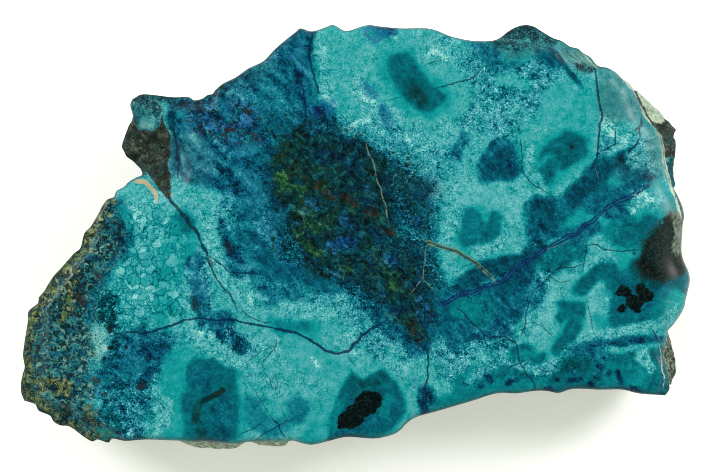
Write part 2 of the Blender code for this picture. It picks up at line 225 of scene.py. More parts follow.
def outward(loop):
    """Unit vectors square to the anticlockwise loop, pointing out of it."""
    run = np.roll(loop, -1, 0) - np.roll(loop, 1, 0)
    normal = np.column_stack([run[:, 1], -run[:, 0]])
    return normal / np.linalg.norm(normal, axis=1)[:, None]


stretches = [(LOWER_EDGE, COLUMNS), (RIGHT_EDGE, ROWS), (UPPER_EDGE, COLUMNS), (LEFT_EDGE, ROWS)]
silhouette = np.vstack([along(points, count)[:-1] for points, count in stretches])
soft_loop = melted(silhouette)
normal = outward(soft_loop)
shown = soft_spots(silhouette, REVEALS)
ledge = np.clip(shown / LEDGE, 0.0, 1.0)
face_rim = silhouette - normal * shown[:, None]
taper = FOOT_TAPER[0] + (FOOT_TAPER[1] - FOOT_TAPER[0]) * patches(flat(silhouette), "taper")
foot = (1.0 - FOOT_MELT) * silhouette + FOOT_MELT * soft_loop - normal * taper[:, None]
roll = EDGE_ROLL + soft_spots(silhouette, ROLLS)
STATIONS = len(silhouette)
print(STATIONS, "stations round the rim")

# %% [markdown]
# ## The polished face
#
# A Coons patch fills an outline with a grid: blend the lower and upper stretch, blend the left and right
# one, add the two and take away the blend of the four corners. The face is a low dome whose edge is rounded
# over like a worn table edge, and it is broken out below the polish in a few places.


# %% Face grid
def coons_patch(u, v, rim):
    """(1-v) lower(u) + v upper(u) + (1-u) left(v) + u right(v) - the bilinear blend of the corners."""
    corners = [0, COLUMNS, COLUMNS + ROWS, 2 * COLUMNS + ROWS]
    closed = np.vstack([rim, rim[:1]])
    lower, right, upper, left = (closed[a:b + 1] for a, b in zip(corners, corners[1:] + [len(rim)]))
    upper, left = upper[::-1], left[::-1]
    column, row = np.rint(u * COLUMNS).astype(int), np.rint(v * ROWS).astype(int)
    u, v = u[:, None], v[:, None]
    sides = (1 - v) * lower[column] + v * upper[column] + (1 - u) * left[row] + u * right[row]
    bilinear = (1 - u) * ((1 - v) * lower[0] + v * upper[0]) + u * ((1 - v) * lower[-1] + v * upper[-1])
    return sides - bilinear


def nearest_station(plan, rim, batch=64):
    """Number of the nearest rim station and the distance to it, a batch of stations at a time."""
    best = np.full(len(plan), np.inf)
    station = np.zeros(len(plan), int)
    for start in range(0, len(rim), batch):
        some = rim[start:start + batch]
        gap = np.hypot(plan[:, :1] - some[:, 0], plan[:, 1:] - some[:, 1])
        index = gap.argmin(axis=1)
        closest = gap[np.arange(len(plan)), index]
        closer = closest < best
        best[closer] = closest[closer]
        station[closer] = start + index[closer]
    return station, best


def distance_to_line(points, start, end):
    """Distance from each point to the straight piece between start and end."""
    start, step = np.array(start, float), np.subtract(end, start).astype(float)
    share = np.clip((points - start) @ step / (step @ step), 0.0, 1.0)
    return np.linalg.norm(points - start - share[:, None] * step, axis=1)


def broken_share(plan):
    """How far each plan point is broken out of the polish: 0 polished, 1 rough, with each break's depth."""
    depth, most = np.zeros(len(plan)), np.zeros(len(plan))
    for x0, y0, x1, y1, reach, deep in BREAKS:
        away = distance_to_line(plan, (x0, y0), (x1, y1)) / reach
        share = smooth_step((BREAK_GONE - away) / (BREAK_GONE - BREAK_FULL))
        depth += share * deep
        most = np.maximum(most, share)
    return most, depth


v, u = (grid.ravel() for grid in np.mgrid[0:1:(ROWS + 1) * 1j, 0:1:(COLUMNS + 1) * 1j])
plan = coons_patch(u, v, face_rim)
station, gap = nearest_station(plan, face_rim)
inside = np.clip(1.0 - gap / (ROLL_WIDTH * roll[station]), 0.0, 1.0)
height = THICKNESS - DOME_DROP * (np.abs(plan[:, 0]) / HALF_LENGTH) ** 3
height -= roll[station] * (1.0 - np.sqrt(1.0 - inside**2))
uneven = named_noise(flat(plan), "breaks") + 0.6 * named_noise(flat(plan), "break grain")
broken, depth = broken_share(plan)
crumbs = named_noise(flat(plan), "face crumbs") + 0.7 * named_noise(flat(plan), "face dust")
height -= depth * (1.0 + BREAK_GRAIN * uneven) + broken * FINE_GRAIN * crumbs
face = np.column_stack([plan, height])
print(len(face), "points on the face, from", round(height.min(), 1), "to", round(height.max(), 1), "mm high")

# %% [markdown]
# ## The broken flank
#
# The rim is pulled down in rings. Each ring first swings out to the silhouette and then in to the foot.
# Broad hollows and small pits are pressed in by noise, and forty shell-shaped scoops by balls that stand
# half outside the stone: that is how a hammer leaves glassy rock.


# %% Flank rings
def flank_scoops():
    """Centres and radii of the balls that the shell-shaped breaks follow."""
    dice = np.random.default_rng(SEEDS["scoops"])
    place = dice.integers(0, PACKED_STATIONS, SCOOPS) * STATIONS // PACKED_STATIONS
    radius = dice.uniform(*SCOOP_RADIUS, SCOOPS)
    deep = dice.uniform(*SCOOP_DEPTH, SCOOPS)
    centre = silhouette[place] + normal[place] * (radius - deep)[:, None]
    return np.column_stack([centre, dice.uniform(0.0, SCOOP_TOP * THICKNESS, SCOOPS)]), radius


def flank_ring(level, top):
    """One ring, level 0 at the face's rim and 1 at the sawn back: rim + out (silhouette - rim)
    + down (foot - silhouette), less the hollows, pushed out of every ball that it lies in."""
    out = smooth_step(level / WIDEST_LEVEL)
    down = smooth_step((level - WIDEST_LEVEL) / (1.0 - WIDEST_LEVEL))
    ring = np.column_stack([face_rim + out * (silhouette - face_rim) + down * (foot - silhouette),
                            top * (1.0 - level)])
    bitten = 1.0 - LEDGE_SPARED * ledge * (1.0 - down)
    deep = FLANK_HOLLOWS * patches(ring, "hollows") + FLANK_PITS * patches(ring, "pits")
    crumbs = 2.0 * named_noise(ring, "flank crumbs") + named_noise(ring, "flank dust")
    deep = bitten * deep + FINE_GRAIN * crumbs
    ring[:, :2] -= normal * (deep * np.sin(np.pi * level))[:, None]
    for centre, radius in zip(*flank_scoops()):
        ray = ring - centre
        push = np.clip(radius / np.linalg.norm(ray, axis=1) - 1.0, 0.0, None) * out * bitten
        ring[:, :2] += ray[:, :2] * push[:, None]
    return ring


grid = np.arange(len(face)).reshape(ROWS + 1, COLUMNS + 1)
rim_points = np.concatenate([grid[0, :-1], grid[:-1, -1], grid[-1, :0:-1], grid[:0:-1, 0]])
top = height[rim_points]
rings = [flank_ring(level, top) for level in np.linspace(0.0, 1.0, RINGS + 1)[1:]]
points = np.vstack([face] + rings)
middle = (points.min(0) + points.max(0)) / 2.0
points[:, :2] -= middle[:2]
print(len(points), "points in all, middle moved by", middle[:2].round(3))

# %% [markdown]
# ## One closed mesh
#
# Points alone aren't a surface. Squares join them on the face and round the flank, and a single face with
# as many corners as the rim has stations closes the saw cut. All of them run anticlockwise seen from
# outside, so that every face points out of the stone.

# %% Build the mesh
face_squares = np.stack([grid[:-1, :-1], grid[:-1, 1:], grid[1:, 1:], grid[1:, :-1]], axis=-1).reshape(-1, 4)
ladder = np.vstack([rim_points, len(face) + np.arange(RINGS * STATIONS).reshape(RINGS, STATIONS)])
ahead = np.roll(ladder, -1, axis=1)
flank_squares = np.stack([ladder[1:], ahead[1:], ahead[:-1], ladder[:-1]], axis=-1).reshape(-1, 4)
saw_cut = ladder[-1, ::-1].tolist()
faces = face_squares.tolist() + flank_squares.tolist() + [saw_cut]

mesh = bpy.data.meshes.new("chrysocolla_slab")
mesh.from_pydata((points * MM).tolist(), [], faces)
mesh.shade_smooth()
mesh.set_sharp_from_angle(angle=np.radians(SHARP_ANGLE))
slab = bpy.data.objects.new("chrysocolla_slab", mesh)
bpy.context.scene.collection.objects.link(slab)
print(len(mesh.polygons), "faces;", 2 * (len(faces) - 1) + STATIONS - 2, "triangles")

# %% [markdown]
# ## Where each mineral lies
#
# The marks below are placed on the photograph, in its pixels, because that is how the stone is seen.
# One pixel is a quarter of a millimetre. A mark is a line or a closed outline with a soft edge, and a
# mineral's map is the strongest of its marks at each point. A mark's own points are written as pairs of
# pixels, the way that an SVG polyline lists them. The places are bent by noise first, so that no edge looks
# drawn with a compass.

# %% Marks and maps
PIXEL = 0.25                          # millimetres of stone per pixel of the photograph
PHOTO_MIDDLE = np.array([356.0, 237.0])
AREA = 0                              # instead of a mark's reach: its points are a closed outline
DOT = 0.01                            # pixels of line that stand for a single point
STRONG_BENDS = [(4.0, 15.0, 41), (2.0, 6.0, 43)]      # each a shift and a cell in pixels, and a seed
SLIGHT_BENDS = [(1.6, 12.0, 45)]
LINE_BENDS = [(1.4, 9.0, 51), (0.5, 3.5, 53)]


def photo_place(xyz):
    """Pixel of the photograph at which each point of the stone is seen."""
    return PHOTO_MIDDLE + (xyz[:, :2] + middle[:2]) * (1.0 / PIXEL, -1.0 / PIXEL)


def pixels(text):
    """The pairs of pixels in a text such as "168,100 192,88"."""
    return [tuple(map(float, pair.split(","))) for pair in text.split()]


def bent(place, bends):
    """The places shifted by one bend after another: place + shift * (noise, other noise)."""
    for shift, cell, seed in bends:
        deep = np.column_stack([place, points[:, 2] / PIXEL])
        fields = [lattice_noise(deep, cell, seed), lattice_noise(deep, cell, seed + 1)]
        place = place + shift * np.column_stack(fields)
    return place


def mask(place, reach, soft, marked):
    """1 on the mark, 0 away from it. Line: step((reach + soft - distance) / soft). Closed outline:
    step(0.5 + depth / soft), where depth is the distance inside the outline, negative outside."""
    marks = pixels(marked)
    ends = list(zip(marks, marks[1:])) or [(marks[0], (marks[0][0] + DOT, marks[0][1]))]
    if reach == AREA:
        ends.append((marks[-1], marks[0]))
    low, high = np.min(marks, axis=0) - reach - soft, np.max(marks, axis=0) + reach + soft
    near = np.flatnonzero(((place > low) & (place < high)).all(axis=1))
    x, y = place[near].T
    away = np.min([distance_to_line(place[near], a, b) for a, b in ends], axis=0)
    if reach == AREA:
        within = np.zeros(len(near), bool)
        for (x0, y0), (x1, y1) in ends:
            if y0 != y1:
                within ^= ((y0 > y) != (y1 > y)) & (x < x0 + (y - y0) * (x1 - x0) / (y1 - y0))
        share = 0.5 + np.where(within, away, -away) / soft
    else:
        share = (reach + soft - away) / soft
    values = np.zeros(len(place))
    values[near] = smooth_step(share)
    return values


def strongest(place, marks):
    """Largest over the marks of strength * mask, where a mark is (reach, soft, strength, points)."""
    total = np.zeros(len(place))
    for reach, soft, strength, marked in marks:
        total = np.maximum(total, strength * mask(place, reach, soft, marked))
    return total


def keep(name, values):
    """Stores one number for each point of the slab under a name that materials can read."""
    layer = mesh.attributes.new(name, "FLOAT", "POINT")
    layer.data.foreach_set("value", np.asarray(values, np.float32))
    print("map", name, "covers", round(float((values > 0.5).mean()) * 100, 1), "% of the points")


place = photo_place(points)
wavy = bent(place, STRONG_BENDS)
gently = bent(place, SLIGHT_BENDS)
for name, bent_place in (("wavy", wavy), ("gently", gently)):
    print(name, "bent by up to", round(np.abs(bent_place - place).max(), 1), "pixels")

# %% [markdown]
# ### The ground
#
# Below the spots and cracks the whole face is one substance in many kinds, from milky aqua through clear
# teal to grainy azurite blue. Each kind is three numbers: how light it is, how blue against green, and how
# gritty. The strokes lay kinds over each other like a painter's soft brushes, broad ones first. A stroke
# follows a line with a reach, or fills a closed outline, and has a soft edge.

# %% Kinds of ground and how a stroke is laid on
KINDS = {                 # lightness, blueness, grit
    "milky": (0.775, 0.3, 0.7), "aqua": (0.735, 0.22, 0.55), "green": (0.7, 0.0, 0.4),
    "halo": (0.6, 0.05, 0.16), "rim": (0.68, 0.05, 0.25), "clear": (0.45, 0.12, 0.15),
    "pool": (0.335, 0.22, 0.15), "pool dark": (0.24, 0.1, 0.2), "pool blue": (0.345, 0.5, 0.2),
    "teal": (0.375, 0.25, 0.25), "wedge": (0.37, 0.2, 0.3), "blue": (0.4, 0.75, 0.48),
    "blue teal": (0.43, 0.6, 0.42), "mixed": (0.7, 0.5, 1.0), "light blue": (0.52, 0.85, 0.6),
    "tooth": (0.42, 0.25, 0.6), "flecked": (0.61, 0.5, 1.0), "cream": (0.77, 0.28, 0.32),
    "lobe": (0.5, 0.55, 0.9), "beside": (0.39, 0.3, 0.15), "calm deep": (0.25, 0.55, 0.25),
    "calm blue": (0.37, 0.6, 0.28), "blotch": (0.5, 0.45, 0.2), "dusty blue": (0.53, 0.92, 0.36),
    "deep": (0.25, 0.7, 0.55), "navy": (0.15, 0.85, 0.5), "slate": (0.6, 0.26, 0.25),
    "pale": (0.93, 0.2, 0.8), "murky": (0.28, 0.3, 0.85), "dark blue mix": (0.33, 0.55, 0.95),
}


def lay(ground, place, strokes):
    """Lays each stroke (kind, reach, soft, points) over the ground: ground + mask * (kind - ground)."""
    for kind, reach, soft, marked in strokes:
        share = mask(place, reach, soft, marked)[:, None]
        ground += share * (np.array(KINDS[kind]) - ground)
    return ground


print(len(KINDS), "kinds of ground")

# %% [markdown]
# The great blue field fills the upper left and the middle of the face. Its edges are strongly bent by
# noise, and dusty and deep streaks run through it.

# %% Great blue field
FIELDS = [
    ("blue teal", AREA, 12,
     "168,100 192,88 215,74 240,60 262,46 285,30 300,16 318,18 314,42 313,62 318,84 328,98 344,112 "
     "352,126 374,138 400,148 414,160 428,182 434,200 438,218 436,236 434,252 438,268 450,280 472,286 "
     "500,279 530,260 545,249 562,243 584,240 588,262 562,268 547,277 531,290 526,314 514,328 500,330 "
     "484,334 468,324 450,330 432,343 414,345 400,338 382,324 364,330 352,316 350,306 335,298 316,292 "
     "294,296 276,297 262,290 256,280 238,268 228,246 222,214 210,190 196,184 178,184 174,150"),
    ("dark blue mix", AREA, 22,
     "302,132 332,116 366,134 396,150 420,176 428,214 430,250 438,276 452,296 450,322 430,340 406,334 "
     "384,318 356,306 330,292 296,286 280,262 270,220 272,184 284,152"),
    ("mixed", 5, 12, "262,290 294,297 335,300 352,316 366,330 384,326 404,341 432,346"),
    ("mixed", 4, 12, "330,100 356,126 384,142 416,158 438,182 448,210 446,240"),
    ("flecked", 4, 16, "398,142 420,160 432,184 440,214"), ("mixed", 6, 12, "222,200 232,238 244,268"),
    ("blue", AREA, 14, "240,60 285,30 302,18 312,24 308,50 300,84 304,120 290,132 268,110 246,92"),
    ("light blue", 10, 12, "212,84 232,92"), ("light blue", 5, 10, "196,98 214,104 222,112"),
    ("dusty blue", 14, 10, "186,142 184,160"), ("dusty blue", 8, 12, "200,150 212,168 222,184"),
    ("light blue", 6, 12, "252,60 270,56"), ("blue teal", 12, 12, "268,84 280,104"),
    ("blue", 16, 16, "232,160 258,190 262,216"), ("dusty blue", 6, 10, "240,176 256,196"),
    ("blue teal", 12, 12, "244,236 262,256"), ("light blue", 4, 9, "262,226 272,240"),
    ("calm blue", 4, 8, "298,30 297,54 303,84 312,104"), ("dusty blue", 1.5, 5, "300,44 300,66 306,88"),
    ("deep", 1.5, 4, "296,74 303,98 306,124"), ("deep", 2, 4, "314,28 310,48 314,74 326,100"),
    ("deep", 2, 5, "258,134 276,150 292,164 302,178"), ("deep", 1.5, 5, "236,148 258,166 272,188 282,210"),
    ("deep", 1.5, 4, "216,160 232,176 240,194"), ("calm blue", 6, 8, "262,262 290,276 330,286"),
    ("deep", 3, 8, "206,118 226,118 250,124 262,138"), ("deep", 2, 6, "196,104 204,120 206,132"),
    ("deep", 1, 4, "172,108 173,130 176,158"), ("deep", 4, 8, "176,100 206,92 232,78"),
    ("blue", 4, 7, "221,106 232,108"), ("blue", 3, 6, "226,116 234,114"),
    ("dusty blue", 4, 4, "228,138 236,146 242,150"), ("dusty blue", 3.5, 4, "245,116 253,117"),
    ("dusty blue", 3, 4, "188,124 193,128"), ("blue", 3.5, 4, "211,129 217,132"),
    ("dusty blue", 3, 4, "230,104 231,116"), ("dusty blue", 3, 5, "248,146 254,152"),
]
print(len(FIELDS), "strokes in the great field")

# %% [markdown]
# Blue grains cloud the upper right. Below them lie round blue spots and the two blue banks along the violet
# vein. Smaller blue spots are scattered round the matrix and along the top edge.

# %% Blue clouds and banks
CLOUDS = [
    ("mixed", AREA, 26,
     "462,62 484,44 505,34 550,40 566,58 560,76 548,92 546,108 534,118 530,134 520,142 498,142 484,132 "
     "470,118 460,98"),
    ("blue teal", 10, 16, "488,50 520,50 540,58"), ("flecked", 4, 10, "540,92 536,104 530,112"),
    ("green", 8, 10, "508,84 518,86"), ("flecked", 5, 10, "500,96 522,104"),
    ("flecked", 3, 8, "476,84 488,92"), ("flecked", 6, 8, "528,68 544,76"),
    ("milky", 3, 8, "516,108 524,116"), ("slate", 4, 8, "508,52 532,54"),
    ("mixed", 8, 12, "470,62 464,90 468,116"),
    ("calm blue", AREA, 4,
     "487,146 505,138 520,142 528,158 524,174 513,181 498,185 484,188 478,177 475,164 482,153"),
    ("calm deep", AREA, 6, "494,148 518,148 525,160 521,174 504,180 490,178 488,160"),
    ("navy", 1.5, 6, "514,162 520,169"),
    ("calm blue", AREA, 8,
     "523,206 534,196 552,193 562,198 568,210 566,226 556,240 545,246 531,244 522,226"),
    ("calm deep", AREA, 10, "526,210 540,200 556,204 558,222 544,236 532,234"),
    ("calm blue", AREA, 9,
     "556,196 574,190 590,176 600,162 616,156 634,152 648,156 654,170 650,182 640,190 622,200 602,211 "
     "584,224 566,236 556,240 564,220"),
    ("teal", 5, 8, "568,224 584,214"), ("halo", 5, 8, "578,222 586,216"),
    ("deep", 4, 7, "598,164 612,158 628,154"), ("blue", 4, 6, "572,196 588,182 596,170"),
    ("halo", 5, 8, "612,176 620,182"), ("calm blue", 8, 10, "606,162 626,166 646,168"),
    ("calm blue", 5, 8, "628,172 640,184"), ("calm deep", 4, 6, "602,166 616,160 636,158"),
    ("blue", 3, 6, "640,152 632,160"), ("mixed", 4, 6, "598,204 620,194"),
    ("deep", 6, 10, "492,268 516,262 536,252"), ("navy", 3, 6, "504,266 524,258"),
    ("calm blue", 8, 10, "478,298 500,292"), ("calm blue", 8, 9, "522,280 512,300 506,312"),
    ("wedge", 6, 10, "545,258 574,250"), ("calm deep", 3, 8, "532,268 520,280 506,286"),
    ("calm blue", 3, 7, "464,332 484,334"), ("blue teal", 6, 9, "556,262 582,256"),
    ("mixed", 5, 8, "544,272 536,300 530,330"), ("blue", 9, 12, "440,320 470,340 500,334"),
    ("flecked", 6, 10, "446,358 470,354 500,350"), ("deep", 5, 10, "436,310 428,334"),
    ("mixed", 5, 8, "362,84 370,96"), ("blue", 4, 6, "364,86 369,92"), ("blue", 4, 6, "382,108 388,120"),
    ("mixed", 8, 12, "346,104 368,126 392,134"), ("blue", 5, 6, "374,33 390,31"),
    ("navy", 2.5, 3, "378,31 386,32"), ("blue teal", 5, 8, "356,34 366,34"),
    ("deep", 4, 6, "321,110 330,106"), ("blue", 8, 10, "318,114 330,112"),
    ("navy", 2.5, 3, "318,110 323,116"), ("navy", 2.5, 3, "326,108"),
    ("blue teal", 6, 6, "460,140 458,148"), ("blue", 4, 5, "458,156"), ("blue teal", 4, 5, "446,43"),
    ("calm blue", 9, 12, "440,300 452,318 462,334"), ("calm blue", 8, 9, "430,340 448,346"),
    ("blue", 8, 9, "384,320 396,334 414,344"), ("blue teal", 7, 9, "254,292 276,298 292,298"),
    ("blue", 6, 8, "230,260 238,270"), ("mixed", 8, 10, "404,146 440,160"),
    ("blue", 6, 10, "420,186 432,206"), ("mixed", 6, 8, "444,168 440,196"),
]
print(len(CLOUDS), "strokes of cloud")

# %% [markdown]
# The lower left has a blue lobe beside the crust, small ink-blue specks along the cracks and faint round
# blotches.

# %% Blues of the lower left
LOWER_BLUES = [
    ("lobe", AREA, 18,
     "84,326 110,316 130,328 152,328 174,334 178,350 168,366 160,388 162,404 150,424 140,442 110,450 "
     "88,434 78,390"),
    ("blue teal", AREA, 14, "92,330 124,332 150,332 170,338 166,360 148,372 128,384 112,372 96,350"),
    ("blue", 8, 9, "132,346 160,348"), ("deep", 6, 7, "149,350 164,356"), ("deep", 4, 6, "140,380 150,372"),
    ("deep", 5, 9, "118,392 132,400"), ("lobe", 8, 10, "124,400 136,424"),
    ("deep", 3, 7, "110,412 118,426"), ("mixed", 7, 8, "192,254 200,272 200,300"),
    ("dusty blue", 5, 5, "188,256 197,262"), ("dusty blue", 5, 5, "197,280 200,292"),
    ("blue", 4, 5, "198,300 202,306"), ("deep", 1.5, 3, "190,260"), ("deep", 1.5, 3, "199,286"),
    ("deep", 2, 4, "196,304"), ("mixed", 6, 10, "210,328 226,338 244,346"),
    ("deep", 3.5, 5, "219,331 221,336"), ("deep", 4, 6, "237,338 241,345"), ("navy", 2, 3, "219,333"),
    ("blue", 4, 8, "206,318 230,322"), ("blotch", 9, 9, "250,410 264,412"),
    ("blotch", 9, 9, "286,414 296,410"), ("blotch", 6, 8, "264,424 284,424"),
    ("rim", 6, 6, "272,408 278,412"), ("blotch", 5, 8, "262,424 276,428"),
    ("deep", 2, 3, "219,183 219,192"), ("deep", 2.5, 4, "230,188 236,191"),
    ("deep", 2, 4, "220,222 222,231"), ("navy", 2, 3, "229,243 232,249"), ("deep", 3, 5, "226,240 234,252"),
    ("blue teal", 4, 7, "424,394 432,404"), ("deep", 3, 6, "425,398 426,412"),
    ("flecked", 6, 9, "446,366 470,380"), ("mixed", 5, 8, "440,348 452,366"),
]
print(len(LOWER_BLUES), "strokes at the lower left")

# %% [markdown]
# The pools are clear, deep chrysocolla. Each sits in a smooth green halo, and its edge fades over two or
# three millimetres, so these strokes are bent only a little.

# %% Pools and halos
HEART = (
    "352,372 358,375 364,382 371,376 380,370 388,373 396,383 403,397 405,410 400,422 390,431 372,438 "
    "350,444 327,444 329,430 332,416 338,398 344,383"
)
CAPSULE = (
    "387,60 391,55 398,52 406,53 413,58 418,65 423,74 429,84 438,90 446,95 446,99 440,106 433,111 "
    "425,113 417,110 409,103 402,95 396,86 390,77 387,69"
)
BESIDE_HEARTS = (
    "610,266 630,256 646,262 656,280 686,286 682,302 668,318 640,328 602,334 601,318 610,302 612,285"
)
SMOOTH = [
    ("green", 26, 22, "352,52 352,80"), ("green", 26, 14, "400,66 418,98 438,94"),
    ("rim", 16, 12, "400,66 418,98 438,94"), ("halo", 19, 9, "402,70 413,90 424,97"),
    ("halo", 10, 9, "424,99 438,98"), ("pool", AREA, 6, CAPSULE), ("pool dark", 4, 8, "412,86 422,102"),
    ("green", 30, 20, "556,150 574,140"), ("rim", 20, 12, "558,156 570,146"),
    ("halo", 16, 9, "556,158 568,150 572,146"), ("pool", 12, 6, "555,158 566,150 572,147"),
    ("halo", 8, 7, "550,168 545,182"), ("pool", 4, 7, "552,166 545,178"),
    ("pool dark", 3, 7, "562,154 572,148"), ("green", 24, 16, "472,216 476,240 494,218"),
    ("halo", 14, 9, "470,214 470,236 478,248"), ("halo", 7, 8, "497,214 490,238"),
    ("beside", AREA, 5,
     "461,210 471,205 479,213 488,227 493,215 501,211 506,219 498,236 486,247 473,252 461,245 456,228"),
    ("beside", AREA, 10, "464,214 473,211 480,224 486,236 474,246 461,236"),
    ("pool", 3, 5, "496,216 493,232"), ("halo", 6, 12, "172,250 168,276 165,310"),
    ("halo", 8, 12, "190,206 184,226 184,244"), ("pool", 3, 9, "185,216 187,226"),
    ("halo", 10, 10, "282,320 308,330"), ("clear", 4, 8, "284,325 303,328"),
    ("halo", 12, 12, "180,364 176,390 174,432"), ("halo", 17, 8, "202,376 210,400 210,430"),
    ("halo", 14, 8, "226,376 228,430"), ("pool", 13, 5, "201,376 210,394 212,430"),
    ("pool", 8, 5, "198,368 224,372"), ("pool", 8, 7, "225,374 228,400 226,432"),
    ("pool blue", 6, 8, "199,376 206,386"), ("pool blue", 8, 8, "220,406 221,432"),
    ("pool", 6, 8, "192,400 194,432"), ("pool dark", 3, 6, "198,424 202,436"),
    ("halo", 14, 12, "320,440 332,420"),
    ("rim", AREA, 18, "340,366 388,362 410,384 414,414 398,436 320,452 322,416"), ("pool", AREA, 5, HEART),
    ("pool blue", 12, 8, "346,424 366,412 386,408"), ("clear", 3, 4, "340,404 334,426"),
    ("pool dark", 3, 6, "350,384 366,384 380,378"), ("clear", 3, 4, "388,398 384,412"),
    ("halo", 6, 7, "516,356 540,354"), ("clear", 4.5, 4, "519,356 537,354"),
    ("pool", 2, 3, "514,352 522,348 538,349"), ("pool", 2, 3, "514,360 524,363 540,360 543,354"),
    ("halo", 13, 12, "604,236 640,226"), ("clear", 5, 8, "628,220 602,240"),
    ("halo", 8, 8, "612,270 594,276 582,292"), ("pool", 5, 4.5, "613,271 600,274 590,281 583,289"),
    ("halo", 8, 7, "560,310 578,314"),
    ("pool", AREA, 4, "551,301 570,303 587,303 586,321 574,328 560,324 552,314"),
    ("halo", 7, 6, "575,326 566,338 556,354"), ("pool", 4, 4.5, "576,326 567,338 557,351"),
    ("beside", AREA, 12, BESIDE_HEARTS), ("pool blue", 13, 12, "628,296 650,294"),
    ("pool", 4, 8, "604,322 622,318 640,322"), ("pool", 4, 7, "612,284 606,306"),
    ("clear", 6, 9, "662,312 676,300"), ("halo", 8, 8, "672,326 682,300"),
    ("teal", 9, 9, "628,232 622,248"), ("clear", 6, 9, "640,240 630,256 612,262"),
    ("halo", 7, 9, "612,256 640,262"), ("cream", 6, 6, "597,290 598,306 594,330"),
    ("aqua", 4, 5, "606,296 604,312"), ("halo", 8, 9, "672,206 664,216"),
    ("pool dark", 6, 8, "640,268 654,280"), ("pool", 5, 8, "650,224 636,236"),
    ("halo", 5, 7, "658,190 662,196"), ("halo", 5, 8, "498,372 510,374"),
    ("calm blue", 2.5, 6, "540,50 556,64"), ("calm deep", 1.5, 2, "537,49 552,66"),
    ("calm deep", 1.6, 2, "551,47 565,66 582,88"), ("rim", 14, 14, "560,104 590,110"),
    ("rim", 10, 14, "300,350 330,366"),
]
print(len(SMOOTH), "strokes of pools and halos")

# %% [markdown]
# Along the lower right runs a calm band of one even teal, a later vein that cut the rest. Its upper border
# is a narrow blue crust under a pale line. The first strokes belong to the banks and pools beside the
# violet vein, and stand here because they lie over the pale crusts.

# %% Teal band and its border
BAND = [
    ("calm deep", 5, 7, "464,284 484,270 506,263 524,262 534,254"),
    ("calm deep", 7, 8, "578,194 590,182 602,168"), ("calm blue", 8, 8, "594,202 620,196"),
    ("calm blue", 5, 7, "574,238 592,228"), ("calm blue", 4, 6, "610,212 622,212"),
    ("aqua", 7, 8, "596,246 606,258"), ("aqua", 5, 7, "578,264 592,262"), ("halo", 5, 6, "600,322 604,332"),
    ("pool", 6, 8, "674,270 686,284"), ("clear", 5, 6, "460,384 476,374"),
    ("blue teal", 3, 7, "538,286 534,302"), ("pool", 4, 4.5, "575,322 569,336 558,351"),
    ("pool", 4.5, 5, "612,269 598,273 587,281 581,290"),
    ("mixed", 5, 8, "472,388 486,372 506,366 534,374 560,372 574,352"),
    ("teal", AREA, 6,
     "468,402 473,386 486,374 505,366 522,370 536,376 556,372 572,354 590,352 620,353 664,346 674,360 "
     "676,396 640,404 540,404"),
    ("clear", AREA, 8, "426,414 438,398 462,388 482,382 480,402 440,424"),
    ("milky", 3, 5, "586,340 600,334 622,332 650,326"),
    ("calm blue", 2.5, 4, "574,350 594,343 620,342 662,339"),
    ("deep", 0.8, 2.5, "590,346 606,344 628,343 646,341"), ("blue teal", 5, 6, "580,352 600,356"),
    ("wedge", AREA, 7, "449,306 462,299 490,293 498,306 486,330 474,323"),
    ("clear", 5, 7, "458,308 472,312"),
    ("wedge", AREA, 8, "532,264 560,249 584,246 584,262 560,266 545,275"),
    ("clear", 7, 9, "494,388 520,392"), ("clear", 6, 9, "600,372 640,380"),
    ("pool", 6, 10, "560,384 590,376"), ("pool dark", 4, 8, "566,366 584,362"),
    ("clear", 4, 8, "540,386 530,394"), ("navy", 1.5, 2.5, "558,381"), ("navy", 1.5, 3, "572,380 580,380"),
    ("navy", 1.5, 2.5, "590,384"), ("deep", 2, 3, "609,373"), ("navy", 1, 3, "619,372 621,382"),
    ("deep", 2, 3, "572,370"), ("deep", 2, 3, "481,386"), ("deep", 2, 3, "488,378 491,380"),
    ("navy", 1.5, 3, "546,390 552,391"), ("deep", 2, 3, "600,366 596,376"),
    ("deep", 2, 3, "630,388 640,390"), ("deep", 1.5, 3, "508,384 514,378"),
]
print(len(BAND), "strokes round the teal band")

# %% [markdown]
# The shoulder at the upper right is slate grey. Milky and almost white crusts line the cracks and the
# shores of the pools.

